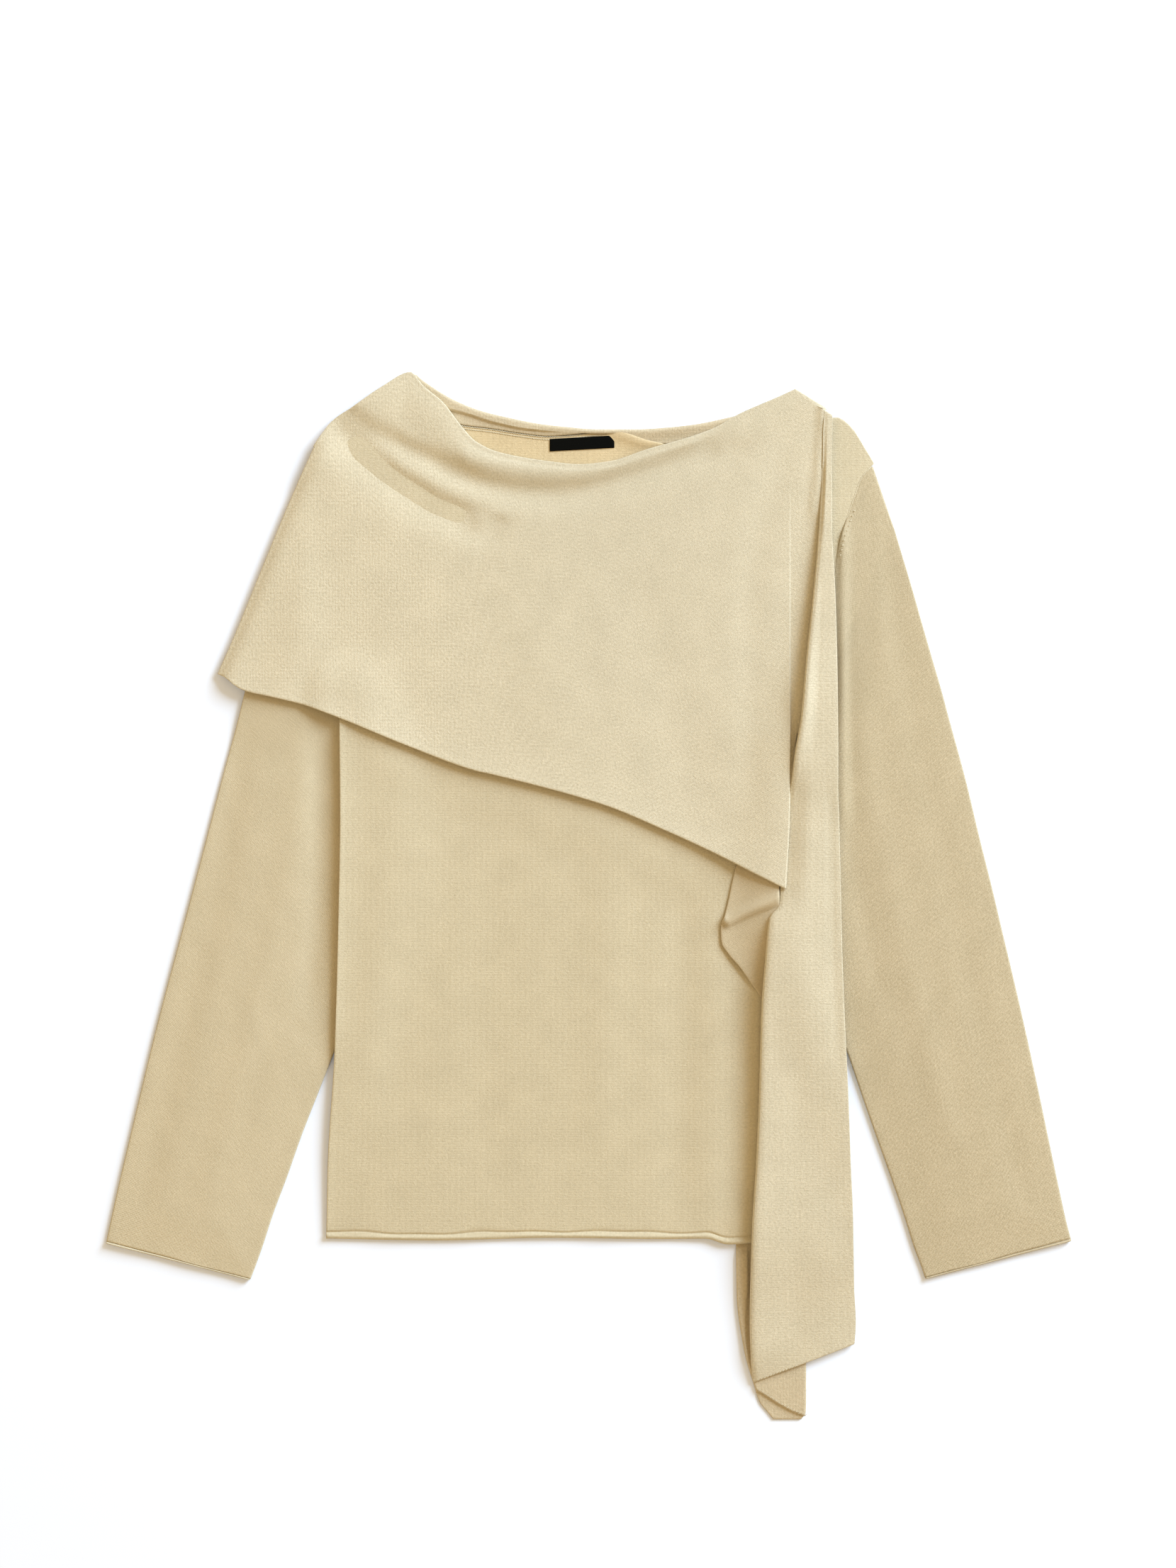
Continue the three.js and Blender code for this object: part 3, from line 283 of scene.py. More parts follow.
STRIP_RIDGE = [([(185, 410), (184.6, 374), (182.6, 344), (180.2, 322), (178, 300)], 3.2, 2.4)]
LIGHT_SIDE = 0.6  # the lines give where a fold is darkest or brightest, so it lies this share away


def folds_of(folds, x, y, aside=LIGHT_SIDE):
    """Height that a list of folds adds. Each one fades out at both ends of its line."""
    height = np.zeros(np.broadcast(x, y).shape)
    for line, width, depth, *lower in folds:
        line = [(px - aside * width, py - aside * width) for px, py in line]
        (x0, y0), (x1, y1) = line[0], line[-1]
        ends = np.minimum(np.hypot(x - x0, y - y0), np.hypot(x - x1, y - y1))
        taper = smooth((ends + width) / (4 * width))
        if lower:
            width = np.where(y < np.interp(x, *np.transpose(line)), lower[0], width)
        height += depth * taper * np.exp(-(distance_to(line, x, y) / width) ** 2)
    return height


def lengths_along(line, axis=0):
    """Distance of each point from the start of its line."""
    steps = np.linalg.norm(np.diff(line, axis=axis), axis=-1)
    return np.insert(np.cumsum(steps, axis=axis), 0, 0, axis=axis)


def relax(field, times):
    """Smooths a field over its grid and keeps its border."""
    field = field.copy()
    for _ in range(times):
        inner = field[1:-1, 1:-1]
        around = field[:-2, 1:-1] + field[2:, 1:-1] + field[1:-1, :-2] + field[1:-1, 2:]
        field[1:-1, 1:-1] = inner * 0.5 + around * 0.125
    return field


def even(field, times):
    """Smooths a field down its columns only."""
    field = field.copy()
    for _ in range(times):
        field[1:-1] = field[1:-1] * 0.5 + (field[:-2] + field[2:]) * 0.25
    return field


def spaced(length, cell, fine=(0.0, 0.5, 1.1, 1.9, 2.9, 4.2)):
    """Places from 0 to 1 along a length, close together at both ends."""
    start = [f for f in fine if f < length / 3]
    middle = np.linspace(start[-1], length - start[-1], max(3, int((length - 2 * start[-1]) / cell)))
    return np.concatenate([start[:-1], middle, [length - f for f in start[:-1]][::-1]]) / length


# Meshes
def make(name, vertices, loops, uv_loops, material):
    mesh = bpy.data.meshes.new(name)
    mesh.vertices.add(len(vertices))
    mesh.vertices.foreach_set("co", (vertices * MM).astype(np.float32).ravel())
    mesh.loops.add(loops.size)
    mesh.loops.foreach_set("vertex_index", loops.astype(np.int32).ravel())
    mesh.polygons.add(len(loops))
    mesh.polygons.foreach_set("loop_start", np.arange(0, loops.size, loops.shape[1], dtype=np.int32))
    mesh.polygons.foreach_set("loop_total", np.full(len(loops), loops.shape[1], np.int32))
    mesh.polygons.foreach_set("use_smooth", np.ones(len(loops), bool))
    mesh.update(calc_edges=True)
    layer = mesh.uv_layers.new(name="cloth")
    layer.data.foreach_set("uv", uv_loops.astype(np.float32).ravel())
    mesh.validate()
    mesh.materials.append(material)
    piece = bpy.data.objects.new(name, mesh)
    bpy.context.scene.collection.objects.link(piece)
    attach(piece, "root")
    return piece


def soften(outer, inner, closed=False):
    """Thins the cut edges of a shell, so that they look rounded."""
    down = lengths_along(outer)
    away = np.minimum(down, down[-1] - down)
    if not closed:
        across = lengths_along(outer, 1)
        away = np.minimum(away, np.minimum(across, across[:, -1:] - across))
    weight = (SOFT_SHARE * clamp(1 - away / SOFT_REACH) ** 2)[..., None]
    middle = (outer + inner) / 2
    return mix(outer, middle, weight), mix(inner, middle, weight)


def shell(name, outer, inner, uv, material, closed=False):
    """A closed cloth wall between two grids of points. A closed one wraps round across its columns."""
    outer, inner = soften(outer, inner, closed)
    rows, cols = outer.shape[:2]
    across = cols if closed else cols - 1
    vertices = np.concatenate([outer.reshape(-1, 3), inner.reshape(-1, 3)])
    i, j = np.meshgrid(np.arange(rows - 1), np.arange(across), indexing="ij")
    i, j = i.ravel(), j.ravel()
    corners = []

    def quads(*sides):
        spread = [np.stack(np.broadcast_arrays(*corner), axis=-1) for corner in sides]
        corners.append(np.stack(spread, axis=1))

    quads((0, i, j), (0, i, j + 1), (0, i + 1, j + 1), (0, i + 1, j))
    quads((1, i, j), (1, i + 1, j), (1, i + 1, j + 1), (1, i, j + 1))
    b = np.arange(across)
    quads((0, 0, b), (1, 0, b), (1, 0, b + 1), (0, 0, b + 1))
    end = rows - 1
    quads((0, end, b), (0, end, b + 1), (1, end, b + 1), (1, end, b))
    if not closed:
        a = np.arange(rows - 1)
        quads((0, a, 0), (0, a + 1, 0), (1, a + 1, 0), (1, a, 0))
        edge = cols - 1
        quads((0, a, edge), (1, a, edge), (1, a + 1, edge), (0, a + 1, edge))
    corner = np.concatenate(corners)
    loops = corner[..., 0] * rows * cols + corner[..., 1] * cols + corner[..., 2] % cols
    uv_loops = uv[corner[..., 1], corner[..., 2]]
    a, b, c, d = (vertices[loops[:, k]] for k in range(4))
    volume = np.einsum("ij,ij->", a, np.cross(b, c)) + np.einsum("ij,ij->", a, np.cross(c, d))
    if volume < 0:
        loops = loops[:, ::-1]
        uv_loops = uv_loops[:, ::-1]
    return make(name, vertices, loops, uv_loops, material)


THREAD_TIP = 0.35  # how thin a yarn is at its ends
THREAD_SIDES = 6


def threads(name, lines, radius):
    """Small yarns along lines of points, all in one piece, with closed ends."""
    vertices, loops = [], []
    count, sides = 0, THREAD_SIDES
    for line in lines:
        line = np.array(line, float)
        along = np.gradient(line, axis=0)
        along /= np.linalg.norm(along, axis=1)[:, None] + 1e-9
        side = np.cross(along, (0.0, 0.0, 1.0))
        side /= np.linalg.norm(side, axis=1)[:, None] + 1e-9
        up = np.cross(side, along)
        thick = np.full(len(line), radius)
        thick[[0, -1]] = radius * THREAD_TIP
        for k in range(len(line)):
            for s in range(sides):
                angle = 2 * PI * s / sides
                vertices.append(line[k] + thick[k] * (math.cos(angle) * side[k] + math.sin(angle) * up[k]))
        for k in range(len(line) - 1):
            for s in range(sides):
                n = (s + 1) % sides
                loops.append((count + k * sides + s, count + (k + 1) * sides + s,
                              count + (k + 1) * sides + n, count + k * sides + n))
        for first, turn in ((count, 1), (count + (len(line) - 1) * sides, -1)):
            ring = [first + s for s in range(sides)][::turn]
            for s in range(1, sides - 2, 2):
                loops.append((ring[0], ring[s], ring[s + 1], ring[s + 2]))
        count += len(line) * sides
    loops = np.array(loops)
    vertices = np.array(vertices)
    uv = vertices[:, :2][loops]
    make(name, vertices, loops, uv, yarn)


# Materials
def nodes_of(material):
    """A material's tree, its shader, and short ways to add a math node."""
    material.use_nodes = True
    tree = material.node_tree
    shader = tree.nodes["Principled BSDF"]

    def math_node(operation, first, second=None):
        node = tree.nodes.new("ShaderNodeMath")
        node.operation = operation
        for socket, value in zip(node.inputs, (first, second)):
            if isinstance(value, (int, float)):
                socket.default_value = value
            elif value is not None:
                tree.links.new(value, socket)
        return node.outputs[0]

    def times(first, second):
        return math_node("MULTIPLY", first, second)

    def plus(first, second):
        return math_node("ADD", first, second)

    return tree, shader, math_node, times, plus


def grain_of(tree):
    """The cloth's UV map, in millimetres along its grain: whole, across the wales and along them."""
    uv = tree.nodes.new("ShaderNodeUVMap")
    uv.uv_map = "cloth"
    parts = tree.nodes.new("ShaderNodeSeparateXYZ")
    tree.links.new(uv.outputs[0], parts.inputs[0])
    return uv.outputs[0], parts.outputs[0], parts.outputs[1]


def noise(tree, place, scale, detail, roughness=0.5):
    node = tree.nodes.new("ShaderNodeTexNoise")
    for name, value in (("Scale", scale), ("Detail", detail), ("Roughness", roughness)):
        node.inputs[name].default_value = value
    tree.links.new(place, node.inputs["Vector"])
    return node.outputs["Fac"]


def add_bump(tree, shader, height, strength, distance):
    bump = tree.nodes.new("ShaderNodeBump")
    bump.inputs["Strength"].default_value = strength
    bump.inputs["Distance"].default_value = distance
    tree.links.new(height, bump.inputs["Height"])
    tree.links.new(bump.outputs["Normal"], shader.inputs["Normal"])


def add_colour(tree, shader, shade, start, dark, end, light):
    ramp = tree.nodes.new("ShaderNodeValToRGB")
    for element, position, colour in zip(ramp.color_ramp.elements, (start, end), (dark, light)):
        element.position = position
        element.color = (*colour, 1)
    tree.links.new(shade, ramp.inputs["Fac"])
    tree.links.new(ramp.outputs["Color"], shader.inputs["Base Color"])


WALE = 1.45  # width of a stitch column
COURSE = 1.1  # height of a stitch row
WANDER = 0.9  # how far the columns wander
FINER = 1.15  # the body and the tail are this much finer than the cape
NAP_SHARE = 0.5  # what the nap, large patches and single stitches each add to the colour
PATCH_SHARE = 0.35
STITCH_SHARE = 0.1


def knit(name, colour, dark, grain):
    """Fine stocking stitch with a soft nap."""
    material = bpy.data.materials.new(name)
    tree, shader, calc, times, plus = nodes_of(material)
    place, wales, courses = grain_of(tree)
    column = times(plus(wales, times(noise(tree, place, 0.16, 2.0), WANDER)), 1 / WALE)
    across = calc("ABSOLUTE", calc("SUBTRACT", calc("FRACT", column), 0.5))
    leg = calc("SINE", times(across, 2 * PI))
    row = plus(times(courses, 1 / COURSE), across)
    stitch = times(leg, times(plus(calc("SINE", times(row, 2 * PI)), 2.0), 0.33))
    nap = noise(tree, place, 0.9, 5.0, 0.65)
    patch = noise(tree, place, 0.035, 3.0)
    fleck = noise(tree, place, 0.48, 2.0)
    relief = plus(plus(times(stitch, 0.6), times(nap, 0.9)), times(fleck, grain))
    add_bump(tree, shader, relief, 0.8, 0.0005)
    shade = plus(plus(times(nap, NAP_SHARE), times(patch, PATCH_SHARE)), times(stitch, STITCH_SHARE))
    shade = plus(shade, times(calc("SUBTRACT", fleck, 0.5), grain))
    add_colour(tree, shader, shade, 0.25, dark, 0.75, colour)
    shader.inputs["Roughness"].default_value = 0.95
    shader.inputs["Specular IOR Level"].default_value = 0.15
    shader.inputs["Sheen Weight"].default_value = 0.25
    shader.inputs["Sheen Roughness"].default_value = 0.45
    shader.inputs["Sheen Tint"].default_value = (1.0, 0.96, 0.86, 1)
    return material


# One yarn in lit and shaded copies, as painted light and shade: the cape and tail lighter, the wearer's left
# sleeve, the collar band and the lobe darker, the back panel's inside warmer for the shade in the neck
body_knit = knit("body_knit", (0.752, 0.643, 0.44), (0.589, 0.501, 0.335), 0.66)
back_knit = knit("back_knit", (0.825, 0.65, 0.39), (0.646, 0.506, 0.297), 0.62)
collar_knit = knit("collar_knit", (0.71, 0.585, 0.395), (0.555, 0.457, 0.302), 0.8)
sleeve_knit = knit("sleeve_knit", (0.74, 0.628, 0.43), (0.58, 0.488, 0.321), 0.5)
sleeve_knit_shaded = knit("sleeve_knit_shaded", (0.661, 0.545, 0.36), (0.513, 0.42, 0.264), 0.9)
cape_knit = knit("cape_knit", (0.786, 0.685, 0.495), (0.615, 0.535, 0.378), 0.9)
lobe_shaded_knit = knit("lobe_painted_shade_knit", (0.69, 0.565, 0.375), (0.54, 0.44, 0.28), 0.6)
yarn = knit("yarn", (0.74, 0.64, 0.45), (0.55, 0.46, 0.30), 0.6)


RIB = 0.45  # pitch of the label's rib
WEFT = 0.6  # and of the threads across it


def woven(name):
    """Black satin label, with a fine rib across it."""
    material = bpy.data.materials.new(name)
    tree, shader, calc, times, plus = nodes_of(material)
    _, along, across = grain_of(tree)
    rib = calc("SINE", times(across, 2 * PI / RIB))
    weft = calc("SINE", times(along, 2 * PI / WEFT))
    weave = plus(rib, times(weft, 0.4))
    add_bump(tree, shader, weave, 0.4, 0.0002)
    shade = plus(times(weave, 0.35), 0.5)
    add_colour(tree, shader, shade, 0, (0.0012, 0.0012, 0.0008), 1, (0.005, 0.005, 0.004))
    shader.inputs["Roughness"].default_value = 0.6
    shader.inputs["Specular IOR Level"].default_value = 0.03
    return material


satin = woven("label_satin")

# Body panels
left_side = curve(BODY_SIDES, "y", "left")
right_side = curve(BODY_SIDES, "y", "right")
hem = curve(HEM, "x", "y")
front_top = curve(FRONT_TOP, "x", "y")
CHEST = 0.65  # share of the height below which both panels have the same rows
HEM_BEAD = 1.2  # height of the rolled hem
BEAD_WAVE = 0.5  # how unevenly it rolls
BEAD_PLACE = 2.2  # where the roll is highest, in from the edge
BEAD_WIDTH = 1.5
GROOVE_PLACE = 5.2  # and where the groove behind it lies
GROOVE_WIDTH = 0.8
GROOVE_DEPTH = 1.0

FRONT_FOLDS = [
    ([(-150, 100), (-158, -40), (-162, -200)], 16, 0.8),
    ([(-60, 90), (-66, -60), (-72, -230)], 22, -0.8),
    ([(28, 70), (26, -60), (18, -200)], 18, 1.1),
    ([(84, 30), (84, -100), (80, -250)], 15, -1.2),
    ([(125, -20), (127, -120), (121, -250)], 12, -1.7),
]
BACK_FOLDS = [
    ([(-120, 250), (-110, 60), (-130, -200)], 26, -0.3),
    ([(60, 300), (50, 80), (70, -210)], 30, 0.3),
]

# The neck edge of the back panel as it shows: right of the label it dips as a soft flap
BACK_TOP_SEEN = table("x y", [
    (-216, 338), (-190, 362), (-165, 380), (-140, 389), (-115, 379), (-99.5, 373.5), (-78.5, 371),
    (-52.5, 367), (-31.5, 364.8), (-13.5, 365.8), (3.5, 367.8), (20, 369), (26, 369), (35, 366), (43, 363),
    (53, 360.5), (63, 358.4), (80, 353), (100, 354), (130, 362), (160, 372), (180, 377), (196, 380),
    (207, 372.8), (217.5, 357), (226, 343)])
FLAP = [(24, 367.5), (35, 364), (43, 361), (53, 358.5), (63, 356.5)]
FLAP_LIFT = 2.4
FLAP_WIDTH = 6.5


def flap_height(x, y):
    shown = smooth((y - np.interp(x, CAPE_TOP["x"], CAPE_TOP["y"]) + 1) / 5)
    return FLAP_LIFT * shown * np.exp(-(distance_to(FLAP, x, y) / FLAP_WIDTH) ** 2)


HEM_ROWS = (0.0, 0.5, 1.1, 1.9, 2.7, 3.4, 4.0, 4.5, 5.0, 5.5, 6.0, 6.6, 7.4, 8.6)  # fine rows at the hem


def panel_grid(top, cell):
    top_edge = curve(top, "x", "y")
    u, v = np.meshgrid(spaced(408, cell), spaced(640, cell, HEM_ROWS), indexing="xy")
    x0 = span(top, "x", u)
    hem_y = hem(span(HEM, "x", u))
    chest_y = mix(hem_y, front_top(x0), CHEST)
    low = mix(hem_y, front_top(x0), v)
    high = mix(chest_y, top_edge(x0), (v - CHEST) / (1 - CHEST))
    y = np.where(v < CHEST, low, high)
    return mix(left_side(y), right_side(y), u), y, hem_y


EDGE_CURL = 2.4  # how far the sides of the front stand up over the sleeves
CURL_WIDTH = 9.0


def side_curl(x, y):
    reach = np.minimum(x - left_side(y), right_side(y) - x)
    return EDGE_CURL * np.exp(-reach / CURL_WIDTH) * within(y, -150, 60, 170, 40)


def bead(distance, x, height):
    """A rolled raw edge with the thin groove above it."""
    uneven = 1 + BEAD_WAVE * 0.5 * (np.sin(x / 9.0) + np.sin(x / 23.0 + 1.3))
    roll = height * uneven * np.exp(-((distance - BEAD_PLACE) / BEAD_WIDTH) ** 2)
    groove = GROOVE_PLACE + 0.7 * np.sin(x / 17.0) + 0.4 * np.sin(x / 7.3 + 1.0)
    return roll - GROOVE_DEPTH * np.exp(-((distance - groove) / GROOVE_WIDTH) ** 2)


def body_panel(name, node, top, base, folds, cell, roll, cloth):
    """One panel. The front has a rolled hem, and its sides stand up a little."""
    x, y, hem_y = panel_grid(top, cell)
    height = relax(base(x, y), 8) + folds_of(folds, x, y)
    height = height + (side_curl(x, y) if roll else flap_height(x, y))
    upper = height + WALL + (bead(y - hem_y, x, roll) if roll else 0)
    uv = FINER * np.dstack([x, y])
    piece = shell(name, np.dstack([x, y, upper]), np.dstack([x, y, height]), uv, cloth)
    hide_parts(node)
    return piece


front = body_panel("body_front", "front_panel", FRONT_TOP, front_base, FRONT_FOLDS, CELL, HEM_BEAD, body_knit)
# Painted shade: the back panel's knit is warmer, for the warm shade inside the neck
back = body_panel("body_back", "back_panel", BACK_TOP_SEEN, body_base, BACK_FOLDS, BACK_CELL, 0, back_knit)

# Sleeves: flat tubes with rounded folded edges
CUFF_ROWS = (0, 0.7, 1.4, 2.1, 2.8, 3.5, 4.2, 4.9, 5.6, 6.4, 7.4)  # fine rows at the head and the cuff
SLEEVE_LENGTH = 640.0
RING_STEP = 36.0  # length of sleeve between two rows of its table
CUFF_BEAD = 1.0
ROUND = 1.35  # how far the points of a folded edge reach round it
SEWN_RINGS = 0.6  # rings over which a sleeve leaves the line of the armhole
BOWED = 0.35  # and its share in the body's curved side


def sleeve(name, node, rows, outline, side, folds, cloth):
    """A flat tube, ring by ring from the shoulder to the cuff. Its first ring follows the armhole."""
    count = len(rows["outerX"])
    rows = dict(rows, t=np.arange(count, dtype=float))
    keys = ("outerX", "outerY", "innerX", "innerY")
    along = spaced(SLEEVE_LENGTH, 4.2, CUFF_ROWS) * (count - 1)
    ox, oy, ix, iy = (curve(rows, "t", key)(along) for key in keys)
    width = np.hypot(ix - ox, iy - oy)
    radius = SLEEVE_FLAT / 2
    hollow = radius - WALL
    turns = np.array([0.0, 0.5, 1.0, ROUND]) * PI / 2 / ROUND
    middle = np.linspace(0, 1, 34)[1:-1]
    outer_in = [radius * (1 - np.cos(t)) for t in turns]
    inner_in = [radius - hollow * np.cos(t) for t in turns]
    lift = [np.sin(t) for t in turns]

    def across(ends):
        flat = [radius + (width - 2 * radius) * m for m in middle]
        first = [np.full_like(width, e) for e in ends]
        return np.stack(first + flat + [width - e for e in ends[::-1]], axis=1)

    rise = np.array(lift + [1.0] * len(middle) + lift[::-1])

    def face(ends, sign, wall):
        d = across(ends)
        t = d / width[:, None]
        x = mix(ox[:, None], ix[:, None], t)
        y = mix(oy[:, None], iy[:, None], t)
        first_x, first_y = mix(ox[0], ix[0], t), mix(oy[0], iy[0], t)
        sewn = side(first_y) + 0.4 * np.sign(ox[0]) - first_x
        bowed = side(y) - mix(side(oy)[:, None], side(iy)[:, None], t)
        ring = along[:, None]
        x = x + mix(sewn, BOWED * bowed, clamp(ring)) * (1 - clamp((ring - 1) / SEWN_RINGS))
        low = ground(x, y)
        if sign > 0:
            swell = crown(outline, x, y) + folds_of(folds, x, y)
            end = (count - 1 - along)[:, None] * RING_STEP
            z = low + radius + rise * (radius - wall) + rise * swell
            if wall == 0:
                z = z + rise * bead(end, d, CUFF_BEAD) * smooth((60 - end) / 50)
            return np.dstack([x, y, z])
        return np.dstack([x, y, low + radius - rise * (radius - wall)])

    def around(ends, wall):
        return np.concatenate([face(ends, 1, wall), face(ends, -1, wall)[:, -2:0:-1]], axis=1)

    outer, inner = around(outer_in, 0.0), around(inner_in, WALL)
    lengths = np.cumsum(np.hypot(np.gradient((ox + ix) / 2), np.gradient((oy + iy) / 2)))
    girth = lengths_along(np.concatenate([outer, outer[:, :1]], axis=1), 1)
    uv = np.dstack(np.broadcast_arrays(girth, lengths[:, None]))
    piece = shell(name, outer, inner, uv, cloth, closed=True)
    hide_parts(node)
    return piece


RIGHT_FOLDS = [
    ([(-268, 150), (-282, 20), (-318, -120), (-350, -260)], 12, -0.9),
    ([(-215, 130), (-232, 20), (-262, -110), (-300, -250)], 11, 0.8),
    ([(-202.5, 170), (-202, 60), (-205, -20), (-217, -90)], 12, -2.6),
]
LEFT_FOLDS = [
    ([(238, 300), (262, 150), (296, 0), (332, -160), (356, -250)], 12, -0.9),
    ([(214, 230), (228, 90), (262, -60), (296, -200)], 11, 0.8),
    ([(206, 150), (212, 40), (236, -80)], 8, -0.7),
    ([(203.5, 300), (203, 215), (203, 130), (204, 60)], 4, 2.7),
]
sleeve_r = sleeve("sleeve_wearer_right", "sleeve_right", SLEEVE_RIGHT, sleeve_outlines[0], left_side,
                  RIGHT_FOLDS, sleeve_knit)
# Painted shade: the wearer's left sleeve has a darker copy of the sleeve knit
sleeve_l = sleeve("sleeve_wearer_left", "sleeve_left", SLEEVE_LEFT, sleeve_outlines[1], right_side,
                  LEFT_FOLDS, sleeve_knit_shaded)


def roll_rows(start, end, depth, turns=9, flat=6, full=1.0):
    """A fold that rolls under an edge: how far in from the edge each row lies, and its height.
    Below 1, full makes it squarer than a half circle."""
    radius = abs(end - start) / 2
    middle = (start + end) / 2
    side = math.copysign(1.0, end - start)
    rows = []
    for k in range(1, turns + 1):
        angle = PI * k / turns
        out = abs(math.sin(angle)) ** full
        up = side * math.copysign(abs(math.cos(angle)) ** full, math.cos(angle))
        rows.append(((radius - radius * out, middle - radius * up),
                     (radius - (radius - WALL) * out, middle - (radius - WALL) * up)))
    for k in range(1, flat + 1):
        along = mix(radius, max(depth, radius + 1), k / flat)
        rows.append(((along, end), (along, end - side * WALL)))
    return np.array(rows)


def in_from(edge, x, distance, radius):
    """A point in from an edge: across the edge for the fold, then straight down the panel."""
    slope = (edge(x + 2) - edge(x - 2)) / 4
    length = math.hypot(slope, 1)
    across = min(distance, radius)
    return x + slope / length * across, edge(x) - across / length - max(0, distance - radius)


# Back half of the cape
back_neck = curve(NECK_BACK, "x", "y")
back_left = curve(BACK_SIDES, "y", "left")
back_right = curve(BACK_SIDES, "y", "right")
neck_seam = curve(BACK_TOP_SEEN, "x", "y")
COLLAR = 1.9  # how far the collar's fold stands above its inner band
COLLAR_LINE = table("x reach", [
    (-125, 12), (-109, 10), (-91, 6.8), (-74, 7.3), (-57, 7.3), (-40, 6.2), (-20, 5.5), (0, 5)])
collar_reach = curve(COLLAR_LINE, "x", "reach")
FOLD_LIP = 3.0  # width of the doubled edge on the left, and of the one on the back tail
TAIL_LIP = 8.0
# Edge of the back tail's upper layer
TAIL_HEM = [(133.5, -388), (140, -392), (150, -398.5), (160, -404), (172, -408.6)]


def lip_height(x, y):
    width = np.where(y > 0, FOLD_LIP, TAIL_LIP * (1 - 0.85 * smooth((-300 - y) / 60)))
    upper = within(y, 185, 15, 330, 15)
    lower = within(y, -374, 16, -275, 8)
    lip = (FOLD_HEIGHT - WALL) * np.maximum(upper, lower) * (1 - smooth((x - back_left(y) - width) / 3))
    above = y - np.interp(x, *np.transpose(TAIL_HEM))
    doubled = smooth(above + 0.5) * smooth((-330 - y) / 40) * smooth((x - back_left(y)) / 1.5)
    return lip + LAYER * doubled


SHOULDER = 230.0  # height above which the rows of the back half turn into the line of the neck


def back_cape():
    """A flat sheet that goes on over the neck's fold and down inside it."""
    columns = np.unique(np.concatenate([np.linspace(0, 0.05, 14), spaced(420, 5.0, (0, 0.6, 1.2, 2.0, 3.0))]))
    low = [np.arange(*level) for level in ((-411, -380, 0.8), (-380, -260, 3.0), (-260, SHOULDER, 6.0))]
    level_rows = [np.full_like(columns, y) for y in np.unique(np.concatenate(low + [[SHOULDER]]))]
    neck = back_neck(span(NECK_BACK, "x", columns))
    y = np.array(level_rows + [mix(SHOULDER, neck, t) for t in np.linspace(0, 0.95, 24)[1:]])
    x = mix(back_left(y), back_right(y), columns)
    lower = np.dstack([x, y, np.zeros_like(x)])
    upper = np.dstack([x, y, WALL + lip_height(x, y)])
    outer_rows, inner_rows = [], []
    for u in columns:
        px = mix(BACK_SIDES["left"][0], BACK_SIDES["right"][0], u)
        under_flap = 4.0 * float(within(px, 24, 6, 60, 8))
        depth = back_neck(px) - neck_seam(px) - 0.5 + under_flap
        raised = COLLAR * float(within(px, -125, 18, 128, 25))
        height = FOLD_HEIGHT + raised
        radius = height / 2
        rows = np.concatenate([[((radius, 0.0), (radius, WALL))], roll_rows(0.0, height, depth, 9, 20)])
        creased = 1 - float(smooth((px + 45) / 30))
        reach = collar_reach(px)
        into = rows[:, 0, 0]
        fall = mix(smooth((into - 2) / 9), smooth((into - reach + 1.2) / 1.2), creased)
        fall = raised * np.where(np.arange(len(rows)) > 9, fall, 0)
        for face, out_rows in ((0, outer_rows), (1, inner_rows)):
            out_rows.append([(*in_from(back_neck, px, row[face][0], radius), row[face][1] - f)
                             for row, f in zip(rows, fall)])
    outer = np.concatenate([lower, np.array(outer_rows).transpose(1, 0, 2)])
    inner = np.concatenate([upper, np.array(inner_rows).transpose(1, 0, 2)])
    # Painted shade: the collar knit is a darker copy of the cape's, for the shade in the back neck
    piece = shell("cape_back", outer, inner, outer[..., :2].copy(), collar_knit)
    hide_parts("drape_back")
    return piece


cape_b = back_cape()

# Front half of the cape
cape_top = curve(CAPE_TOP, "x", "y")
cape_lower = curve(CAPE_LOWER, "x", "y")
cape_left = curve(CAPE_LEFT, "y", "x")
right_fold = {key: curve(CAPE_RIGHT, "y", key) for key in ("crest", "end", "endY", "rise", "drop")}
top_line = points(CAPE_TOP, "x", "y")
left_line = points(CAPE_LEFT, "x", "y")
CAPE_EDGE = FOLD_HEIGHT + SEAM
UNDER_NECK = FOLD_HEIGHT + 0.5
NECK_DEPTH = 30.0  # how far the cape is folded in at the neck
NECK_LIFT = 2.2
CORNER_LIFT = 2.3
CREST_RAMP = 85.0  # width over which the cape rises to its crest on the right
CREST_FALL = 0.6  # and falls from it
EDGE_LIFT = 1.8  # how far the lower edge stands up from what it covers
lower_line = points(CAPE_LOWER, "x", "y")


def cape_underside(x, y):
    past = x - right_fold["crest"](y)
    rise = right_fold["rise"](y)
    drop = right_fold["drop"](y)
    valley = smooth(past / CREST_FALL)
    crest = np.where(past < 0, rise * (1 - smooth(-past / CREST_RAMP)), rise - drop * valley)
    air = AIR * (1 - 0.7 * valley * np.minimum(1, drop / 4))
    neck = NECK_LIFT * (1 - smooth((distance_to(top_line, x, y) - 5) / 30))
    full = cape_base(x, y) + air + crest + neck + folds_of(CAPE_FOLDS, x, y)
    full = full + EDGE_LIFT * np.exp(-distance_to(lower_line, x, y) / 16)
    edge = CAPE_EDGE + CORNER_LIFT * smooth((y - 318) / 20)
    return mix(edge, full, smooth(distance_to(left_line, x, y) / 11))


# Columns of the cape to the right of its crest, close together where it falls
PAST_CREST = (0.004, 0.008, 0.012, 0.016, 0.02, 0.03, 0.05, 0.08, 0.12, 0.17, 0.23, 0.32, 0.42, 0.53, 0.64,
              0.76, 0.88, 1.0)


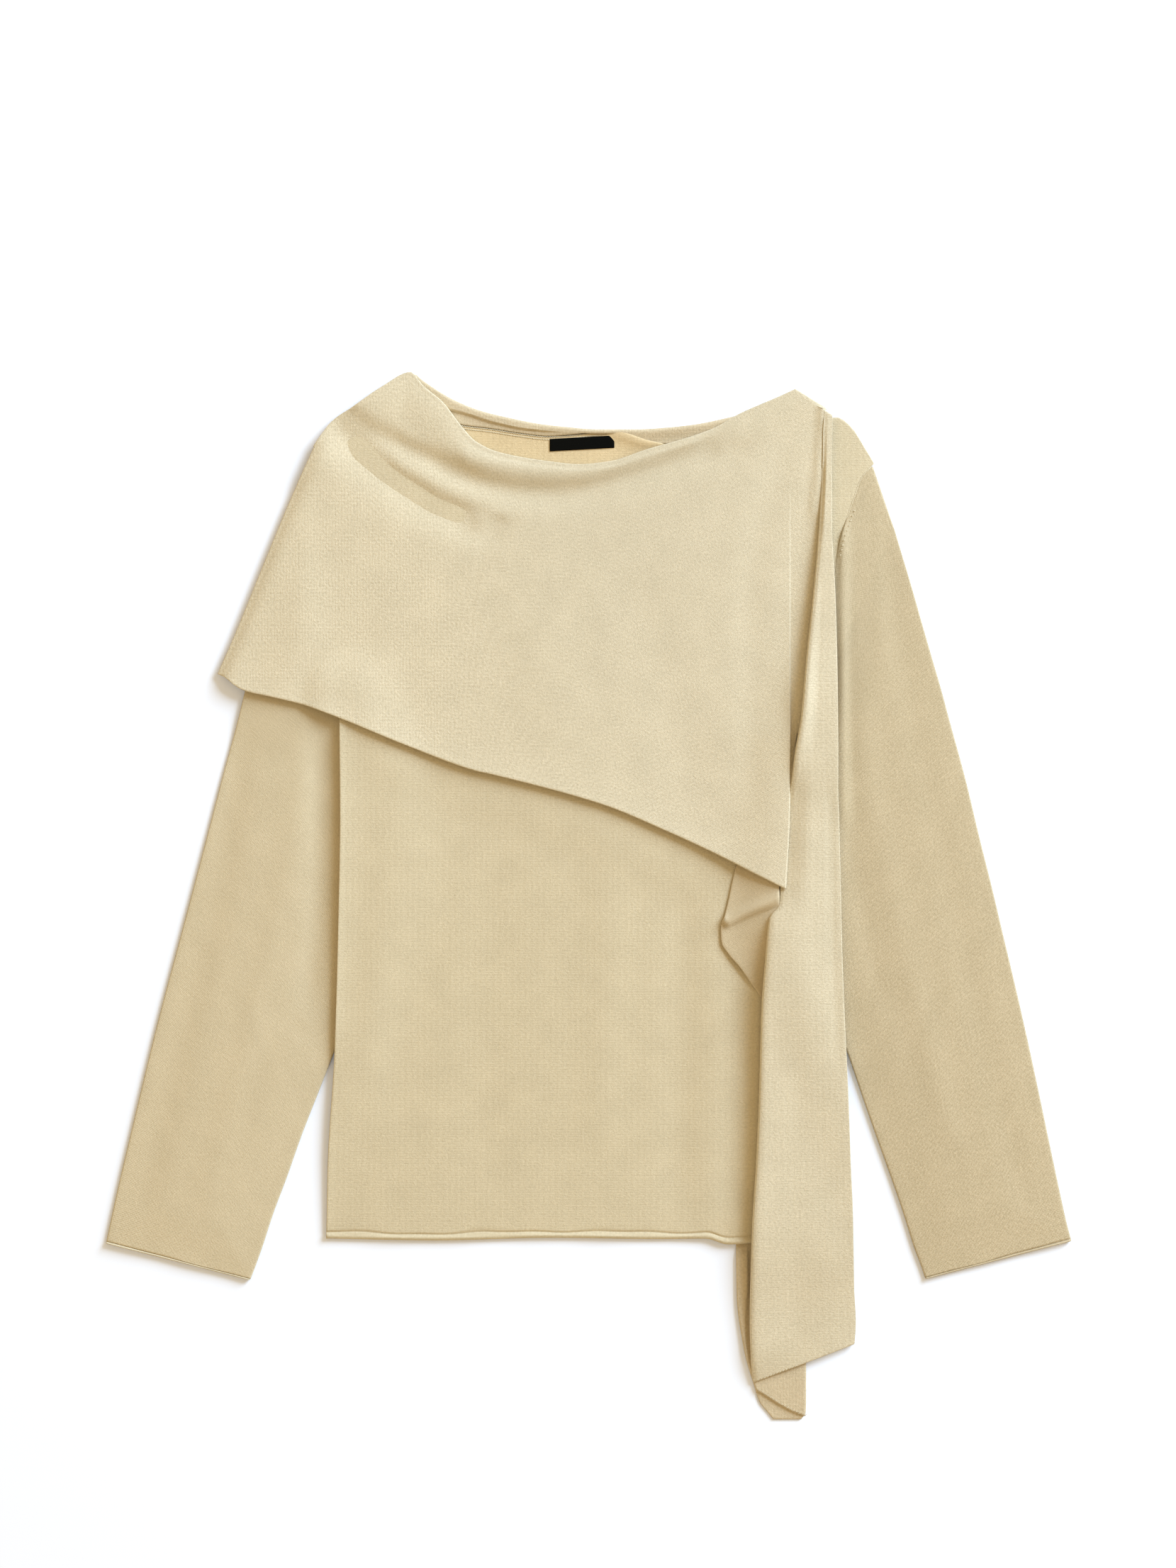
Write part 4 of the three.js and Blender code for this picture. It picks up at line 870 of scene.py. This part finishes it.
def front_cape():
    """Columns from the roll at the neck to the lower edge, then those to the right of the crest."""
    u_all = spaced(455, CELL, (0, 0.6, 1.3, 2.2, 3.2, 4.4, 5.8))
    columns = [(u, 0.0) for u in u_all] + [(1.0, p) for p in PAST_CREST]
    v = spaced(300, CELL, (0, 0.8, 1.8, 3.0, 4.4))
    crest_x = CAPE_TOP["x"][-1]
    top_y, end, end_y = cape_top(crest_x), CAPE_RIGHT["end"][0], CAPE_RIGHT["endY"][0]
    edge_at = lambda x: cape_top(x) if x <= crest_x else mix(top_y, end_y, (x - crest_x) / (end - crest_x))
    plan, heads, rolled = [], [], []
    for u, past in columns:
        x = span(CAPE_TOP, "x", u)
        slack = float(within(x, -158, 30, 150, 30))
        depth = mix(5.0, NECK_DEPTH, 0.0 if past else slack)
        edge_x = mix(crest_x, end, past) if past else x
        first = in_from(edge_at, edge_x, 3, 3)
        start_z = float(cape_underside(np.array(first[0]), np.array(first[1]))) + WALL
        radius = (start_z - UNDER_NECK) / 2
        start = in_from(edge_at, edge_x, radius, radius)
        foot_x = span(CAPE_LOWER, "x", u)
        y = mix(top_y - radius if past else start[1], cape_lower(foot_x), v)
        straight = mix(crest_x if past else start[0], foot_x, v)
        left, crest = cape_left(y), right_fold["crest"](y)
        ruled = mix(x, foot_x, v)
        bowed = straight + mix(left, crest, u) - ruled
        amount = 1 - u / 0.15 if u < 0.15 else max(0.0, (u - 0.8) / 0.2)
        px = mix(straight, bowed, np.where(v == 0, 0.0, min(1.0, amount)))
        if past:
            side_y = mix(y, right_fold["endY"](y), past)
            px = mix(crest, right_fold["end"](y), past)
            px[0], side_y[0] = start
            y = side_y
        plan.append(np.stack([px, y], axis=1))
        heads.append(start_z - WALL)
        rows = roll_rows(start_z, UNDER_NECK, depth, full=0.4)
        rolled.append([[(*in_from(edge_at, edge_x, p[0], radius), p[1]) for p in row] for row in rows])
    plan = np.array(plan).transpose(1, 0, 2)
    x, y = plan[..., 0], plan[..., 1]
    height = cape_underside(x, y)
    height[0] = heads
    height = relax(height, 2) + folds_of(STRIP_RIDGE, x, y, 0)
    lower = np.dstack([x, y, height])[::-1]
    upper = np.dstack([x, y, height + WALL])[::-1]
    rolled = np.array(rolled).transpose(1, 2, 0, 3)
    outer = np.concatenate([upper, rolled[:, 0]])
    inner = np.concatenate([lower, rolled[:, 1]])
    lean = 0.45 * smooth((outer[..., 0] + 120) / 300)
    uv = np.dstack([outer[..., 0] + lean * outer[..., 1], outer[..., 1] - lean * outer[..., 0] * 0.6])
    piece = shell("cape_front", outer, inner, uv, cape_knit)
    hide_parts("drape_front")
    return piece


cape_f = front_cape()

# The lobe under the cape's lower corner, with the rolled edge that crosses it
ROLL_LINE = [(101, -14), (109.5, -22), (120, -16), (130, -11.5), (144.5, -5.6), (151, -2.4)]
LOBE_STEP = 3.6  # height of that rolled edge
ROLL_WIDTH = 5.0
ROLL_CENTRE = 4.0  # how far above the line it is highest
LOBE_LEAN = 5.0  # how far the lobe rises towards the tail


def lobe():
    """The turned-back corner, which rises towards the tail."""
    index = np.arange(len(LOBE_ROWS["y"]), dtype=float)
    rows = dict(LOBE_ROWS, t=index)
    along = np.linspace(0, 1, 70) * index[-1]
    level, left, right = (curve(rows, "t", key)(along) for key in ("y", "left", "right"))
    f = spaced(44, 1.6, (0, 0.5, 1.1))
    x = mix(left[:, None], right[:, None], f[None])
    y = level[:, None] + LOBE_SLANT * f[None]
    base = cape_base(x, y) + SEAM
    below = np.interp(x, *np.transpose(ROLL_LINE)) - y
    above_line = np.exp(-((np.minimum(below, 0) + ROLL_CENTRE) / ROLL_WIDTH) ** 2)
    roll = LOBE_STEP * above_line * np.where(below < 0, 1, 1 - smooth(below / 1.2))
    roll *= smooth((x - left[:, None] + 2) / 4)
    base = base + LOBE_LEAN * smooth((x - left[:, None]) / 52) * smooth((y + 78) / 30)
    upper = base + WALL + roll
    uv = np.dstack([x + 0.5 * y, y - 0.5 * x])
    # Painted shade: the lobe's knit is darker than the cape's, for the shade under the cape's corner
    piece = shell("cape_lobe", np.dstack([x, y, upper]), np.dstack([x, y, base]), uv, lobe_shaded_knit)
    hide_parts("drape_fold")
    return piece


lobe_piece = lobe()

# Front tail
OVER_HEM = 1.7  # how far the tail lifts where it crosses the rolled hem
TAIL_FOLDS = [
    ([(180, 120), (176, -20), (172, -140), (168, -250)], 14, 0.35),
    ([(150, -60), (150, -200), (146, -330)], 10, -0.3),
    ([(192, 90), (194, -20), (198, -130)], 4, -0.5),
]


def tail_base(x, y):
    on_cape = cape_underside(np.maximum(x, right_fold["crest"](y) + 7), y) + LAYER
    lying = mix(cape_base(x, y), on_cape, smooth((y - 75) / 40))
    on_hem = OVER_HEM * (1 - smooth((np.abs(y + 268) - 12) / 45))
    return lying + on_hem + (LAYER + SEAM) * cover(lobe_outline, x, y) + SEAM


TAIL_CURL = np.array([0.25, 0.5, 0.75, 0.95])  # places down the tail's left edge, where it curls under
TAIL_CORNER = len(TAIL_CURL)  # column of that edge's top
BOW = 0.9  # how far the curl stands out, and how much its top is rounded off


def tail():
    """Rows from the shoulder down. Each one goes over the top, round the right edge and back under."""
    shapes = {key: curve(TAIL_ROWS, "y", key) for key in ("left", "right", "fold", "under")}
    edge_rise = curve(TAIL_EDGE, "y", "rise")
    levels = span(TAIL_ROWS, "y", spaced(751, CELL))
    across = spaced(70, 2.8, (0, 0.6, 1.2, 2.0))
    sides = ([], [])
    for y in levels:
        left, right, fold, under = (float(shape(y)) for shape in shapes.values())
        width = right - left
        slant = TAIL_SLANT * float(smooth((-190 - y) / 170))
        head = HEAD_SLANT * float(smooth((y - 355) / 31))
        put = lambda px: (px, y + slant * mix(-1, 1, (px - left) / width) - head * (px - left + 1) / width)
        edge = float(edge_rise(y))
        drop = max(0.0, edge - WALL - LAP)
        skirt = [put(left - BOW * math.sin(PI * c)) for c in TAIL_CURL[::-1]]
        over = skirt + [put(px) for px in mix(left, right - fold / 2, across)]
        rise = np.concatenate([(edge - drop * TAIL_CURL)[::-1], mix(edge, fold, smooth(across / 0.5))])
        in_from_edge = np.concatenate([np.zeros(TAIL_CORNER), across * width])
        rise = rise - BOW * np.exp(-(in_from_edge / 1.6) ** 2) * (drop > 0.3)
        rows = roll_rows(fold, 0, under, 18, 10, 0.16)
        for k, side in enumerate(sides):
            plan = over + [put(right - into) for into in rows[:, k, 0]]
            side.append(np.column_stack([plan, np.concatenate([rise - k * WALL, rows[:, k, 1]])]))

    def face(side):
        x, y, add = np.array(side).transpose(2, 0, 1)
        z = even(tail_base(x, y), 36) + add
        swell = folds_of(TAIL_FOLDS, x, y)
        swell[:, len(across) + TAIL_CORNER:] = 0
        swell[:, :TAIL_CORNER] = 0
        return np.dstack([x, y, z + swell])

    outer, inner = map(face, sides)
    piece = shell("cape_tail", outer, inner, outer[..., :2] * FINER, cape_knit)
    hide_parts("front_tail")
    return piece, outer[:, :TAIL_CORNER + len(across)]


tail_piece, tail_piece_grid = tail()

# Neck label, left bare
LABEL_CORNERS = ((-30.5, 362.9), (20.5, 365.7))
LABEL_HEIGHT = 9.8
LABEL_THICK = 0.5


def label():
    (x0, y0), (x1, y1) = LABEL_CORNERS
    u, v = np.meshgrid(np.linspace(0, 1, 52), np.linspace(0, 1, 12))
    x, y = mix(x0, x1, u), mix(y0, y1, u) - LABEL_HEIGHT * v
    low = body_base(x, y) + WALL + SEAM
    upper = np.dstack([x, y, low + LABEL_THICK])
    piece = shell("label_bare", upper, np.dstack([x, y, low]), np.dstack([x, y]), satin)
    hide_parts("neck_label")


label()

# Sewing: the chain seam of the neck, the armhole seams, the marks beside one of them, the oversewn edges
CHAIN_PITCH = 2.0
CHAIN_RISE = 0.12
ARM_RISE = 2.3
MARK_STEP = 3.9
STITCH_STEP = 2.6


def chain(xs, ys, zs, swing):
    """A zigzag yarn along a line, as a chain stitch lies."""
    lengths = lengths_along(np.stack([xs, ys], axis=1))
    at = np.linspace(0, lengths[-1], int(lengths[-1] / CHAIN_PITCH * 4))
    x, y, height = (np.interp(at, lengths, v) for v in (xs, ys, zs))
    slope = np.gradient(y) / (np.gradient(x) + 1e-9)
    away = swing * np.sin(2 * PI * at / CHAIN_PITCH)
    norm = np.hypot(slope, 1)
    bob = CHAIN_RISE * np.cos(4 * PI * at / CHAIN_PITCH)
    return np.stack([x - slope / norm * away, y + away / norm, height + bob], axis=1)


seam_x = np.linspace(-104, 25, 60)
seam_lines = []
for below, swing in ((0.4, 0.35), (2.4, 0.3)):
    seam_y = neck_seam(seam_x) - below
    seam_z = body_base(seam_x, seam_y) + WALL + 0.08
    seam_lines.append(chain(seam_x, seam_y, seam_z, swing))
threads("neck_chain_seam", seam_lines, 0.36)

arm_lines = []
for edge_of, sign in ((left_side, -1), (right_side, 1)):
    arm_y = np.linspace(204, 341, 70)
    arm_x = edge_of(arm_y) + 0.2 * sign
    arm_lines.append(np.stack([arm_x, arm_y, ground(arm_x, arm_y) + ARM_RISE], axis=1))
threads("armhole_seams", arm_lines, 0.9)

marks = []
for k in range(10):
    mark_y = np.array(306 - MARK_STEP * k)
    mark_x = right_side(mark_y) + 4.2 - 0.12 * k
    mark_z = sleeve_top(sleeve_outlines[1], mark_x, mark_y) + folds_of(LEFT_FOLDS, mark_x, mark_y)
    marks.append([(mark_x + a, mark_y + b, mark_z + c)
                  for a, b, c in ((-1.1, -0.6, -0.1), (0, 0, 0.3), (1.1, 0.7, -0.1))])
threads("fashioning_marks", marks, 0.5)


def oversewn(name, line, heights, lean, into):
    """Short slanted stitches along a line, each from just outside the edge to a place inside it."""
    line = np.array(line, float)
    lengths = lengths_along(line)
    lines = []
    for at in np.arange(0.8, lengths[-1], STITCH_STEP):
        x, y, z = (np.interp(at, lengths, v) for v in (line[:, 0], line[:, 1], heights))
        lines.append([(x - 0.15 * into[0], y - 0.15 * into[1], z - 0.5),
                      (x + 0.3 * into[0], y + 0.3 * into[1], z + 0.15),
                      (x + into[0] + lean[0], y + into[1] + lean[1], z + 0.12)])
    threads(name, lines, 0.34)


bottom = tail_piece_grid[-1]
bottom = bottom[bottom[:, 0] < 163]
bottom = bottom[np.argsort(bottom[:, 0])]
oversewn("tail_hem_stitches", bottom[:, :2], bottom[:, 2], (0.9, 0.0), (0.6, 1.9))
left_edge = tail_piece_grid[:, TAIL_CORNER]
left_edge = left_edge[(left_edge[:, 1] < -302) & (left_edge[:, 1] > -379)]
oversewn("tail_side_stitches", left_edge[:, :2], left_edge[:, 2], (0.0, 0.8), (1.6, 0.2))
oversewn("back_tail_stitches", TAIL_HEM, np.full(len(TAIL_HEM), WALL + LAYER), (0.9, 0.0), (0.7, 1.7))

# Floor: white paper that gives off a faint light of its own, so that its shadows stay grey
FLOOR_SIZE = 8
FLOOR_DROP = 0.0005
bpy.ops.mesh.primitive_plane_add(size=FLOOR_SIZE, location=(0, 0, -FLOOR_DROP))
floor = bpy.context.object
floor.name = "floor"
paper = bpy.data.materials.new("paper")
paper_shader = nodes_of(paper)[1]
paper_shader.inputs["Emission Color"].default_value = (0.0, 0.38, 1.0, 1)
paper_shader.inputs["Emission Strength"].default_value = 0.066
paper_shader.inputs["Base Color"].default_value = (0.905, 0.93, 1.0, 1)
paper_shader.inputs["Roughness"].default_value = 0.9
paper_shader.inputs["Specular IOR Level"].default_value = 0.0
floor.data.materials.append(paper)

# Light: one large soft and cool source from the upper right, and a warm surround
scene = bpy.context.scene
world = bpy.data.worlds.new("surround")
world.use_nodes = True
surround = world.node_tree.nodes["Background"]
surround.inputs[0].default_value = (1.0, 0.80, 0.50, 1)
surround.inputs[1].default_value = 0.74
scene.world = world

key_data = bpy.data.lights.new("key", "AREA")
key_data.shape = "SQUARE"
key_data.size = 3.0
key_data.energy = 500
key_data.color = (0.62, 0.79, 1.0)
key = bpy.data.objects.new("key", key_data)
key.location = (3.5, 3.1, 2.5)
key.rotation_euler = (-key.location).to_track_quat("-Z", "Y").to_euler()
scene.collection.objects.link(key)
scene.view_settings.view_transform = "Standard"

# Camera: straight above, as the photo
CAMERA_HEIGHT = 2.5
CAMERA_PLACE = (-0.00028, 0.09072)
FRAME_HEIGHT = 1.2387  # 2212 pixels of 0.56 mm
SENSOR = 36.0
camera_data = bpy.data.cameras.new("camera")
camera_data.sensor_fit = "VERTICAL"
camera_data.sensor_height = SENSOR
camera_data.lens = SENSOR * CAMERA_HEIGHT / FRAME_HEIGHT
camera = bpy.data.objects.new("camera", camera_data)
camera.location = (*CAMERA_PLACE, CAMERA_HEIGHT)
scene.collection.objects.link(camera)
scene.camera = camera

bpy.context.view_layer.update()
